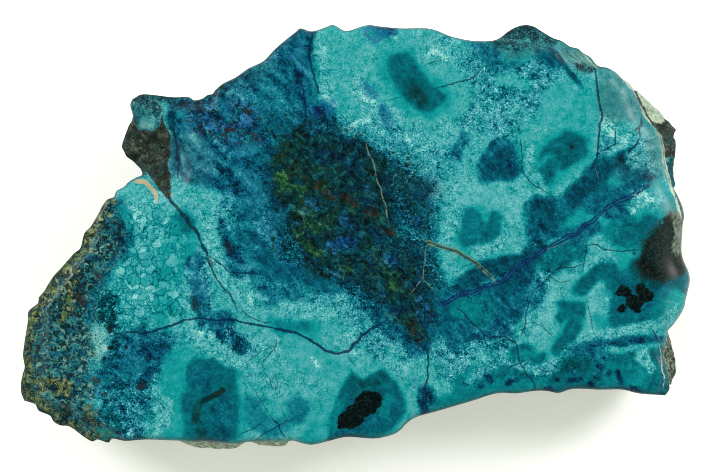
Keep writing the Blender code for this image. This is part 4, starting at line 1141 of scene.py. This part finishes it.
# %% The workbench
class Bench:
    """Adds nodes to one material. A method that makes a pattern or a colour returns its output socket."""

    AWAY = (0.31, 0.57, 0.23)             # moves the stone away from the point where all noises start

    def __init__(self, name):
        self.material = bpy.data.materials.new(name)
        self.material.use_nodes = True
        self.tree = self.material.node_tree
        self.shader = self.tree.nodes["Principled BSDF"]
        coordinates = self.tree.nodes.new("ShaderNodeTexCoord")
        shifted = self.tree.nodes.new("ShaderNodeMapping")
        shifted.inputs["Location"].default_value = self.AWAY
        self.tree.links.new(coordinates.outputs["Object"], shifted.inputs["Vector"])
        self.place = shifted.outputs["Vector"]

    def plug(self, value, socket):
        """Links a socket to the input, or sets the input to a number or colour."""
        if isinstance(value, bpy.types.NodeSocket):
            self.tree.links.new(value, socket)
        else:
            socket.default_value = value

    def read(self, name):
        """A map that is kept at the mesh's points."""
        node = self.tree.nodes.new("ShaderNodeAttribute")
        node.attribute_name = name
        return node.outputs["Fac"]

    def math(self, operation, first, second=0.0):
        """One step of arithmetic on two values."""
        node = self.tree.nodes.new("ShaderNodeMath")
        node.operation = operation
        self.plug(first, node.inputs[0])
        self.plug(second, node.inputs[1])
        return node.outputs[0]

    def times(self, first, *others):
        """Product of two or more values."""
        for other in others:
            first = self.math("MULTIPLY", first, other)
        return first

    def add(self, *terms):
        """Sum of values, or of (value, factor, middle) triples as factor * (value - middle)."""
        total = None
        for term in terms:
            if isinstance(term, tuple):
                value, factor, centre = term
                term = self.math("MULTIPLY_ADD", value, factor)
                term.node.inputs[2].default_value = -factor * centre
            total = term if total is None else self.math("ADD", total, term)
        return total

    def off(self, *terms):
        """How far the sum of the terms is from 0, on either side."""
        return self.math("ABSOLUTE", self.add(*terms))

    def noise(self, size, detail=3.0, rough=0.6, bend=0.0, place=None):
        """Noise from 0 to 1 with features of this size in millimetres."""
        node = self.tree.nodes.new("ShaderNodeTexNoise")
        self.tree.links.new(place or self.place, node.inputs["Vector"])
        node.inputs["Scale"].default_value = 1.0 / (size * MM)
        node.inputs["Detail"].default_value = detail
        node.inputs["Roughness"].default_value = rough
        node.inputs["Distortion"].default_value = bend
        return node.outputs["Fac"]

    def cells(self, size, place, output="Color", feature="F1"):
        """Cells of this size in millimetres: a random colour each, or the distance to a point or wall."""
        node = self.tree.nodes.new("ShaderNodeTexVoronoi")
        node.feature = feature
        self.tree.links.new(place, node.inputs["Vector"])
        node.inputs["Scale"].default_value = 1.0 / (size * MM)
        return node.outputs[output]

    def dice(self, size, place):
        """A random number from 0 to 1 for each cell of this size in millimetres."""
        node = self.tree.nodes.new("ShaderNodeSeparateColor")
        self.tree.links.new(self.cells(size, place), node.inputs[0])
        return node.outputs[0]

    def spread(self, value, low, high, at_low, at_high):
        """A straight scale from at_low, where the value is low, to at_high, where it is high."""
        node = self.tree.nodes.new("ShaderNodeMapRange")
        self.plug(value, node.inputs["Value"])
        for name, number in (("From Min", low), ("From Max", high), ("To Min", at_low), ("To Max", at_high)):
            node.inputs[name].default_value = number
        return node.outputs["Result"]

    def between(self, value, low, high):
        """0 at low, 1 at high, smooth between."""
        node = self.tree.nodes.new("ShaderNodeMapRange")
        node.interpolation_type = "SMOOTHSTEP"
        self.plug(value, node.inputs["Value"])
        self.plug(low, node.inputs["From Min"])
        self.plug(high, node.inputs["From Max"])
        return node.outputs["Result"]

    def grains(self, map_value, noise, spread=2.6, edge=0.07):
        """Turns a soft map into grains: 1 where map + spread (noise - 0.5) passes one half, and nothing
        where the map is empty."""
        lifted = self.add(map_value, (noise, spread, 0.5))
        inside = self.between(map_value, 0.02, 0.2) if isinstance(map_value, bpy.types.NodeSocket) else 1.0
        return self.times(self.between(lifted, 0.5 - edge, 0.5 + edge), inside)

    def stretched(self, turn, squeeze):
        """The place turned about the upright axis and squeezed across, so that patterns become streaks."""
        node = self.tree.nodes.new("ShaderNodeMapping")
        node.vector_type = "TEXTURE"
        node.inputs["Rotation"].default_value = (0.0, 0.0, np.radians(turn))
        node.inputs["Scale"].default_value = (1.0, squeeze, 1.0)
        self.tree.links.new(self.place, node.inputs["Vector"])
        return node.outputs["Vector"]

    def warped(self, size, amount):
        """The place shifted by up to about amount millimetres, by noise of this size."""
        noise = self.tree.nodes.new("ShaderNodeTexNoise")
        noise.inputs["Scale"].default_value = 1.0 / (size * MM)
        noise.inputs["Detail"].default_value = 1.5
        self.tree.links.new(self.place, noise.inputs["Vector"])
        shift = self.tree.nodes.new("ShaderNodeVectorMath")
        shift.operation = "MULTIPLY_ADD"
        shift.inputs[1].default_value = (2.0 * amount * MM,) * 3
        shift.inputs[2].default_value = (-amount * MM,) * 3
        self.tree.links.new(noise.outputs["Color"], shift.inputs[0])
        total = self.tree.nodes.new("ShaderNodeVectorMath")
        self.tree.links.new(self.place, total.inputs[0])
        self.tree.links.new(shift.outputs[0], total.inputs[1])
        return total.outputs[0]

    def mix(self, share, under, over):
        """The colour over laid on the colour under, by this share."""
        node = self.tree.nodes.new("ShaderNodeMix")
        node.data_type = "RGBA"
        self.plug(share, node.inputs["Factor"])
        self.plug(under, node.inputs[6])
        self.plug(over, node.inputs[7])
        return node.outputs[2]

    def ramp(self, value, stops):
        """The colour of a scale at this value."""
        node = self.tree.nodes.new("ShaderNodeValToRGB")
        while len(node.color_ramp.elements) < len(stops):
            node.color_ramp.elements.new(0.5)
        for element, (position, colour) in zip(node.color_ramp.elements, stops):
            element.position = position
            element.color = colour
        self.plug(value, node.inputs["Fac"])
        return node.outputs["Color"]

    def bump(self, height, strength, depth):
        """Plugs small dents, up to depth millimetres, into the surface's normal."""
        node = self.tree.nodes.new("ShaderNodeBump")
        node.inputs["Strength"].default_value = strength
        node.inputs["Distance"].default_value = depth * MM
        self.plug(height, node.inputs["Height"])
        self.plug(node.outputs["Normal"], self.shader.inputs["Normal"])


# %% [markdown]
# ## The stone's material
#
# The layers go on from below: the ground's tones with their grains, the web and the dull skin, the dark
# matrix, the crust, the small spots and black hearts, and last the cracks that cut through everything.
# Where the flank shows, plain rough rock takes over. All of them share a few noises of different sizes.
# The recipe's numbers are sizes in millimetres, or else shares and levels from 0 to 1 that were tuned.

# %% Noises from fine to coarse
# Size in millimetres, octaves of detail, how rough these are, and how much the noise bends itself.
bench = Bench("chrysocolla_polished")
specks = bench.noise(0.40, 2.0, 0.6)
fine = bench.noise(0.90, 2.0, 0.6, 0.5)
pebbles = bench.noise(1.15, 1.2, 0.5, 1.2)
smears = bench.noise(1.7, 3.0, 0.66, 0.9)
grain = bench.noise(2.0, 4.0, 0.65, 0.3)
blobs = bench.noise(2.6, 1.5, 0.5, 1.2)
hue_noise = bench.noise(3.2, 3.0, 0.62, 0.8)
coarse = bench.noise(4.2, 3.0, 0.6, 0.8)
streaks = bench.noise(2.0, 3.0, 0.6, 0.6, bench.stretched(44.0, 3.4))
strokes = bench.noise(1.1, 2.0, 0.6, 0.8, bench.stretched(40.0, 2.2))
print(len(bench.tree.nodes), "nodes for the noises")

# %% [markdown]
# Grit decides how strongly three noises rough up the tone, and pale ground takes less of it than dark. In
# gritty ground thin dark shores, brooks and dots are drawn where a noise crosses its middle, and pale
# islands stand between them.

# %% Uneven tone of the ground
tone, blueness, grit = bench.read("tone"), bench.read("blueness"), bench.read("grit")
uneven = bench.add((specks, 0.7, 0.5), (fine, 1.1, 0.5), (grain, 1.9, 0.5))
uneven = bench.times(uneven, bench.add((grit, 1.0, -0.08)), bench.spread(tone, 0.50, 0.74, 1.0, 0.62))
eased = bench.times(uneven, bench.spread(tone, 0.40, 0.72, 0.9, 0.36))
uneven = bench.math("MINIMUM", uneven, bench.add(eased, 0.01))
shore = bench.between(bench.off((blobs, 1.0, 0.5)), 0.036, 0.010)
brook = bench.between(bench.off((pebbles, 1.0, 0.5)), 0.050, 0.015)
dots = bench.between(bench.add((specks, 1.0, 0.0), (fine, 0.5, 0.5), (grain, 0.8, 0.5)), 0.38, 0.32)
brook_or_dot = bench.math("MAXIMUM", bench.times(brook, 0.6), dots)
lined = bench.times(bench.math("MAXIMUM", bench.times(shore, 0.9), brook_or_dot), -0.17)
islands = bench.between(bench.add((pebbles, 0.8, 0.0), (specks, 0.6, 0.3)), 0.60, 0.66)
lifted = bench.times(islands, bench.spread(tone, 0.34, 0.72, 0.20, 0.04))
crisp = bench.times(bench.add(lined, lifted), bench.between(grit, 0.1, 0.9))
canvas = bench.times(bench.add((specks, 1.0, 0.5)), bench.add((grit, 0.62, 0.0), 0.10))
uneven = bench.add(uneven, crisp, canvas, (coarse, 0.30, 0.5))
print(len(bench.tree.nodes), "nodes with the uneven tone")

# %% [markdown]
# Blue ground is streaky, and the mosaic's tiles differ in tone and have dark walls. The tone then picks a
# colour from two scales, and the blueness blends them.

# %% Colour of the ground
TILE = 2.5                # millimetres
streaky = bench.times(bench.add((streaks, 0.9, 0.5)), bench.between(blueness, 0.3, 0.7))
tile_place = bench.warped(2.6, 2.4)
walls = bench.between(bench.cells(TILE, tile_place, "Distance", "DISTANCE_TO_EDGE"), 0.095, 0.025)
tiles = bench.add(bench.times(walls, -0.24), (bench.dice(TILE, tile_place), 0.24, 0.5), 0.03)
level = bench.add(tone, uneven, streaky, bench.times(tiles, bench.read("mosaic")))
turned = bench.add(blueness, bench.times(bench.add((coarse, 1.2, 0.5), (fine, 1.0, 0.5)), grit))
greens, blues = bench.ramp(level, GREEN_SCALE), bench.ramp(level, BLUE_SCALE)
colour = bench.mix(bench.between(turned, 0.0, 1.0), greens, blues)
print(len(bench.tree.nodes), "nodes with the ground's colour")

# %% [markdown]
# Azurite spots keep the ground's tone but turn it a strong blue. The web is a noise cut at its middle: blue
# patches on one side, and dark lines along the cut itself. The dull skin greys what lies below it.

# %% Azurite, web and dull skin
azure = bench.grains(bench.read("azure"), bench.add((grain, 0.7, 0.0), (fine, 0.6, 0.35)), 3.4, 0.09)
colour = bench.mix(bench.times(azure, 0.8), colour, bench.ramp(level, AZURE_SCALE))
web, web_noise = bench.read("network"), bench.noise(2.7, 2.0, 0.55, 0.9)
web_patches = bench.between(bench.add((web_noise, 1.0, 0.0), (web, 0.10, 1.0)), 0.50, 0.53)
colour = bench.mix(bench.times(web_patches, web, 0.8), colour, bench.ramp(level, WEB_SCALE))
web_lines = bench.between(bench.off((web_noise, 1.0, 0.5), (fine, 0.12, 0.5)), 0.055, 0.020)
web_kinds = bench.mix(bench.between(grain, 0.50, 0.60), WEB_TEAL, WEB_BROWN)
colour = bench.mix(bench.times(web_lines, bench.between(web, 0.2, 0.7), 0.85), colour, web_kinds)
colour = bench.mix(bench.times(bench.read("dull"), 0.75), colour, bench.ramp(level, DULL_SCALE))
print(len(bench.tree.nodes), "nodes with the web and the dull skin")

# %% [markdown]
# The matrix runs from blue-black over green-black to brown where iron warms it. Smears make it black in
# places and light in others, glints sit in it, and azurite spots stay blue inside it.

# %% Matrix
smear_noise = bench.add((smears, 0.75, 0.0), (strokes, 0.45, 0.05), (specks, 0.25, 0.5))
warm_hue = bench.add((hue_noise, 0.6, -0.27), (bench.read("warm"), 0.07, 0.1))
matrix = bench.read("matrix")
matrix_kinds = bench.ramp(warm_hue, DARK_MATRIX)
black_share = bench.times(bench.between(smear_noise, 0.61, 0.45), 0.92)
matrix_kinds = bench.mix(black_share, matrix_kinds, MATRIX_BLACK)
light_share = bench.times(bench.between(smear_noise, 0.60, 0.78), 0.80)
matrix_kinds = bench.mix(light_share, matrix_kinds, bench.ramp(warm_hue, LIGHT_MATRIX))
glints = bench.times(bench.between(specks, 0.68, 0.76), bench.between(hue_noise, 0.44, 0.56), 0.7)
matrix_kinds = bench.mix(glints, matrix_kinds, MATRIX_GLINT)
colour = bench.mix(bench.grains(matrix, grain, 2.6, 0.22), colour, matrix_kinds)
blue_share = bench.times(azure, bench.between(matrix, 0.2, 0.6), 0.6)
colour = bench.mix(blue_share, colour, bench.ramp(smear_noise, BLUE_MATRIX))
print(len(bench.tree.nodes), "nodes with the matrix")

# %% [markdown]
# The crust is a map of seas and lands in small: teal seas, olive and tan lands where the olive map is
# strong, dark soil between the clots, and small round buds, which are dark.

# %% Crust of the left lobe
crust_hue = bench.noise(1.4, 3.0, 0.65, 0.6)
olive_map = bench.read("olive")
land_share = bench.between(bench.add(olive_map, (grain, 1.5, 0.5)), 0.36, 0.62)
crust_kinds = bench.mix(land_share, bench.ramp(crust_hue, SEA_CRUST), bench.ramp(crust_hue, LAND_CRUST))
clots = bench.add((smears, 0.8, 0.0), (fine, 0.5, 0.5), (specks, 0.5, 0.3))
crust_kinds = bench.mix(bench.between(clots, 0.42, 0.56), bench.ramp(crust_hue, SOIL_CRUST), crust_kinds)
buds = bench.between(bench.add(bench.cells(1.7, tile_place, "Distance"), (specks, 0.3, 0.5)), 0.36, 0.24)
crust_kinds = bench.mix(bench.times(buds, bench.between(coarse, 0.36, 0.50), 0.9), crust_kinds, CRUST_BUD)
crust = bench.times(bench.grains(bench.read("crust"), grain, 2.6, 0.3), bench.between(hue_noise, 0.30, 0.40))
colour = bench.mix(crust, colour, crust_kinds)
print(len(bench.tree.nodes), "nodes with the crust")

# %% [markdown]
# Small spots come next: malachite in the matrix, iron, the mottled hearts of the pools, the murk of the
# right end, bubbly black manganese, the tan streaks, the grey rinds and a painted sheen on the rim beside the
# murk.

# %% Spots
malachite = bench.times(bench.grains(olive_map, fine, 1.7, 0.3), bench.times(matrix, 0.8))
colour = bench.mix(malachite, colour, bench.ramp(smear_noise, MALACHITE))
iron = bench.times(bench.grains(bench.read("brown"), fine, 2.4, 0.25), 0.8)
colour = bench.mix(iron, colour, bench.ramp(smear_noise, IRON))

heart_map, murk_map = bench.read("heart"), bench.read("murk")
heart = bench.between(bench.add(heart_map, (fine, 1.2, 0.5), (specks, 0.8, 0.5)), 0.22, 0.80)
heart_kinds = bench.mix(bench.between(grain, 0.45, 0.6), HEART_BROWN, HEART_OLIVE)
colour = bench.mix(bench.times(heart, bench.between(heart_map, 0.02, 0.25), 0.9), colour, heart_kinds)
murk = bench.between(bench.add(murk_map, (fine, 1.3, 0.5), (specks, 0.9, 0.5), (grain, 0.6, 0.5)), 0.26, 0.80)
murk_hue = bench.add((fine, 0.8, 0.0), (specks, 0.8, 0.35))
murk_kinds = bench.mix(bench.between(murk_hue, 0.44, 0.66), MURK_BLACK, MURK_OLIVE)
colour = bench.mix(bench.times(murk, bench.between(murk_map, 0.02, 0.2), 0.97), colour, murk_kinds)

bubbles = bench.add((pebbles, 0.8, 0.0), (specks, 0.5, 0.15))
black_kinds = bench.mix(bench.between(bubbles, 0.58, 0.72), BUD_BLACK, BUD_SHINE)
colour = bench.mix(bench.grains(bench.read("manganese"), bubbles, 2.4, 0.10), colour, black_kinds)
colour = bench.mix(bench.grains(bench.read("tan"), fine, 0.9, 0.12), colour, TAN_STREAK)
# Grey rinds, and on the curved rim beside the murk a painted sheen.
colour = bench.mix(bench.times(bench.grains(bench.read("rind_and_sheen"), fine, 1.6, 0.5), 0.85), colour, RIND_AND_SHEEN_GREY)
print(len(bench.tree.nodes), "nodes with the spots")

# %% [markdown]
# Hairlines are drawn where the signed distance is smaller than the half width. A little noise is added to
# the distance, so that a line wanders like a real fracture. The vein is a wide blue line with two violet
# strands in it, and the widest thread has a dark core.


# %% Lines
def drawn(name, wander=0.5, softness=0.5):
    """1 on the line: step from half + softness down to half - softness of |side + noise|."""
    half = bench.read(name + "_half")
    away = bench.off(bench.read(name + "_side"), (fine, 2.0 * wander, 0.5))
    line = bench.between(bench.math("SUBTRACT", away, half), softness, -softness)
    return bench.times(line, bench.between(half, 0.05, 0.4))


vein_half = bench.read("vein_half")
across = bench.off(bench.read("vein_side"), (fine, 3.4, 0.5), (grain, 4.4, 0.5))
strands = bench.between(bench.math("ABSOLUTE", bench.math("SUBTRACT", across, 1.5)), 1.1, 0.3)
vein = bench.between(bench.math("SUBTRACT", across, vein_half), 1.2, -1.2)
vein = bench.times(vein, bench.between(vein_half, 0.05, 0.6))
colour = bench.mix(bench.times(vein, 0.4), colour, VEIN_BLUE)
colour = bench.mix(bench.times(vein, strands, 0.85), colour, VIOLET)

# Pale ridges, the long one on the rolled right shoulder a painted highlight, broken up by noise.
ridge_breakup = bench.between(bench.add((fine, 0.8, 0.1), (grain, 0.8, 0.5)), 0.14, 0.32)
colour = bench.mix(bench.times(drawn("ridge"), ridge_breakup, 0.85), colour, RIDGE_AND_HIGHLIGHT_PALE)
colour = bench.mix(bench.times(drawn("hatch", 0.7, 0.4), 0.6), colour, HATCH_PALE)
colour = bench.mix(bench.times(drawn("thread"), bench.between(fine, 0.34, 0.56)), colour, THREAD_PALE)
thread_core = bench.between(bench.off(bench.read("thread_side"), (fine, 2.4, 0.5)), 1.5, 0.5)
thread_core = bench.times(thread_core, bench.between(bench.read("thread_half"), 1.3, 1.9), 0.85)
colour = bench.mix(thread_core, colour, THREAD_CORE)

colour = bench.mix(bench.times(drawn("hairline", 0.6, 0.45), 0.75), colour, CRACK_INK)
crack_kinds = bench.mix(bench.between(grain, 0.46, 0.62), CRACK_INK, CRACK_TEAL)
crack_kinds = bench.mix(bench.read("blue_ink"), crack_kinds, CRACK_BLUE)
colour = bench.mix(bench.times(drawn("crack", 0.9, 0.45), 0.88), colour, crack_kinds)
# Painted shade along the rim of the face.
colour = bench.mix(bench.times(bench.read("edge"), bench.spread(fine, 0.35, 0.6, 0.4, 0.9)), colour, RIM_SHADE)
print(len(bench.tree.nodes), "nodes with the lines")

# %% [markdown]
# Broken rock is dark grey-green with black crumbs, pale scratches and some teal left in it. Its surface is
# rough and dented, while the polish is smooth.

# %% Rock and surface
rock_kinds = bench.ramp(bench.noise(2.2, 5.0, 0.68, 0.5), ROCK_SCALE)
crumbs = bench.between(bench.add((specks, 1.0, 0.0), (fine, 0.7, 0.5)), 0.50, 0.36)
rock_kinds = bench.mix(bench.times(crumbs, 0.7), rock_kinds, ROCK_BLACK)
scratch_noise = bench.noise(1.3, 2.0, 0.6, 1.5, bench.stretched(65.0, 2.0))
scratches = bench.between(bench.off((scratch_noise, 1.0, 0.5)), 0.022, 0.004)
scratches = bench.times(scratches, bench.between(coarse, 0.46, 0.58), 0.75)
rock_kinds = bench.mix(scratches, rock_kinds, ROCK_SCRATCH)
rock_kinds = bench.mix(bench.times(bench.grains(0.3, coarse), 0.7), rock_kinds, ROCK_TEAL)
pale_kinds = bench.ramp(bench.add((specks, 0.6, 0.5), (grain, 1.2, 0.0)), PALE_ROCK_SCALE)
rock_kinds = bench.mix(bench.grains(bench.read("pale_rock"), fine, 1.0, 0.2), rock_kinds, pale_kinds)
colour = bench.mix(bench.grains(bench.read("rock"), grain, 1.0, 0.2), colour, rock_kinds)

rough = bench.read("rough")
POLISHED, BROKEN = 0.32, 0.82         # roughness of the two surfaces
bench.plug(colour, bench.shader.inputs["Base Color"])
bench.plug(bench.spread(rough, 0.0, 1.0, POLISHED, BROKEN), bench.shader.inputs["Roughness"])
bench.plug(0.16, bench.shader.inputs["Specular IOR Level"])
bench.bump(bench.times(bench.noise(1.6, 8.0, 0.75), rough), 0.8, 0.6)
print(len(bench.tree.nodes), "nodes in the stone's material")

# %% [markdown]
# ## The sawn back
#
# A saw cut isn't polished: the blade leaves faint parallel arcs, and the same minerals look dull and pale
# with dust.

# %% Back material
SAW_RINGS = 260.0                     # how closely the blade's arcs follow each other
SAW_CENTRE = (0.09, 0.14, 0.0)        # metres from the stone's middle to the middle of the arcs
back = Bench("chrysocolla_sawn")
back_grain = back.noise(1.4, 5.0, 0.7)
back_colour = back.mix(back.between(back.noise(18.0, 3.0, 0.6, 0.8), 0.42, 0.6), SAWN_AQUA, SAWN_BLUE)
back_colour = back.mix(back.grains(back.noise(9.0, 3.0, 0.6, 0.8), back_grain, 2.0), back_colour, SAWN_DARK)
back_colour = back.mix(back.grains(0.2, back_grain), back_colour, SAWN_DUST)
saw = back.tree.nodes.new("ShaderNodeTexWave")
saw.wave_type = "RINGS"
saw.rings_direction = "Z"
saw.inputs["Scale"].default_value = SAW_RINGS
saw.inputs["Distortion"].default_value = 1.5
saw_place = back.tree.nodes.new("ShaderNodeMapping")
saw_place.inputs["Location"].default_value = SAW_CENTRE
back.plug(back.place, saw_place.inputs["Vector"])
back.plug(saw_place.outputs["Vector"], saw.inputs["Vector"])
back.bump(saw.outputs["Fac"], 0.35, 0.15)
back.plug(back_colour, back.shader.inputs["Base Color"])
back.plug(0.7, back.shader.inputs["Roughness"])
back.plug(0.3, back.shader.inputs["Specular IOR Level"])

mesh.materials.append(bench.material)
mesh.materials.append(back.material)
mesh.polygons[len(faces) - 1].material_index = 1
print("two materials on", slab.name)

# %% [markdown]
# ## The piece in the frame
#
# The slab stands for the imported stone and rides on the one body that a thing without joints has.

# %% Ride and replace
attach(slab, "root")
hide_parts(NODE)

# %% [markdown]
# ## Floor, light and camera
#
# The photograph is a cut-out on near white with a short warm shadow below the stone. Two soft lamps stand
# towards the picture's upper corners, and a pale sky fills the rest. Straight overhead it has a dark card,
# so that the polish shows no veil of light. The floor glows a little, which makes it near white. The camera
# hangs straight over the stone with a long lens, so that one pixel is a quarter of a millimetre at the
# height of the polish.

# %% Floor
FLOOR_HALF = 1.5          # metres
FLOOR_WHITE = (0.9, 0.9, 0.9, 1.0)
FLOOR_GLOW = 0.33
PALE_LIGHT = (0.97, 1.0, 0.88, 1.0)
floor_mesh = bpy.data.meshes.new("floor")
corners = FLOOR_HALF * np.array([(-1, -1, 0), (1, -1, 0), (1, 1, 0), (-1, 1, 0)], float)
floor_mesh.from_pydata(corners.tolist(), [], [(0, 1, 2, 3)])
floor = bpy.data.objects.new("floor", floor_mesh)
bpy.context.scene.collection.objects.link(floor)
floor_paint = Bench("studio_white")
floor_paint.shader.inputs["Base Color"].default_value = FLOOR_WHITE
floor_paint.shader.inputs["Roughness"].default_value = 0.9
floor_paint.shader.inputs["Specular IOR Level"].default_value = 0.0
floor_paint.shader.inputs["Emission Color"].default_value = PALE_LIGHT
floor_paint.shader.inputs["Emission Strength"].default_value = FLOOR_GLOW
floor_mesh.materials.append(floor_paint.material)
print("floor", 2 * FLOOR_HALF, "m wide")

# %% Light
CARD_EDGE = (0.84, 0.93)              # upright part of a direction, between which the card fades in
SKY_GLOW, CARD_GLOW = 0.72, 0.02
LAMPS = {"right": 26.0, "left": 154.0}        # azimuth in degrees, from +X towards +Y
LAMP_RISE = 32.0                      # degrees above the floor
LAMP_DISTANCE, LAMP_SIZE = 1.1, 0.34  # metres
LAMP_POWER = 9.0                      # watts
world = bpy.data.worlds.new("studio")
world.use_nodes = True
sky = world.node_tree
direction = sky.nodes.new("ShaderNodeTexCoord")
upright = sky.nodes.new("ShaderNodeSeparateXYZ")
card = sky.nodes.new("ShaderNodeMapRange")
sky.links.new(direction.outputs["Generated"], upright.inputs[0])
sky.links.new(upright.outputs["Z"], card.inputs["Value"])
card.inputs["From Min"].default_value = CARD_EDGE[0]
card.inputs["From Max"].default_value = CARD_EDGE[1]
card.inputs["To Min"].default_value = SKY_GLOW
card.inputs["To Max"].default_value = CARD_GLOW
sky.nodes["Background"].inputs["Color"].default_value = PALE_LIGHT
sky.links.new(card.outputs["Result"], sky.nodes["Background"].inputs["Strength"])
bpy.context.scene.world = world


def softbox(name, azimuth):
    """A square lamp on this side of the stone, facing it."""
    lamp = bpy.data.lights.new(name, "AREA")
    lamp.size = LAMP_SIZE
    lamp.energy = LAMP_POWER
    lamp_object = bpy.data.objects.new(name, lamp)
    turn, rise = np.radians(azimuth), np.radians(LAMP_RISE)
    level = np.array([np.cos(turn), np.sin(turn)]) * np.cos(rise)
    lamp_object.location = LAMP_DISTANCE * np.array([*level, np.sin(rise)])
    lamp_object.rotation_euler = (np.pi / 2.0 - rise, 0.0, turn + np.pi / 2.0)
    bpy.context.scene.collection.objects.link(lamp_object)


for name, azimuth in LAMPS.items():
    softbox(name, azimuth)
bpy.context.scene.view_settings.view_transform = "Standard"
bpy.context.scene.cycles.filter_width = 1.0
print("sky with a dark card overhead, two softboxes")

# %% Camera
PHOTO_WIDTH, PHOTO_HEIGHT = 708, 472
LENS, SENSOR = 500.0, 36.0            # millimetres
view_width = PHOTO_WIDTH * PIXEL
reach = view_width * LENS / SENSOR
centre = (np.array([PHOTO_WIDTH, PHOTO_HEIGHT]) / 2.0 - PHOTO_MIDDLE) * (PIXEL, -PIXEL) - middle[:2]
camera = bpy.data.cameras.new("camera")
camera.lens = LENS
camera.sensor_width = SENSOR
camera.clip_end = 10.0
camera_object = bpy.data.objects.new("camera", camera)
camera_object.location = (centre[0] * MM, centre[1] * MM, (THICKNESS + reach) * MM)
bpy.context.scene.collection.objects.link(camera_object)
bpy.context.scene.camera = camera_object
print("camera", round(reach), "mm above the polish")

# %% Update the view layer
bpy.context.view_layer.update()
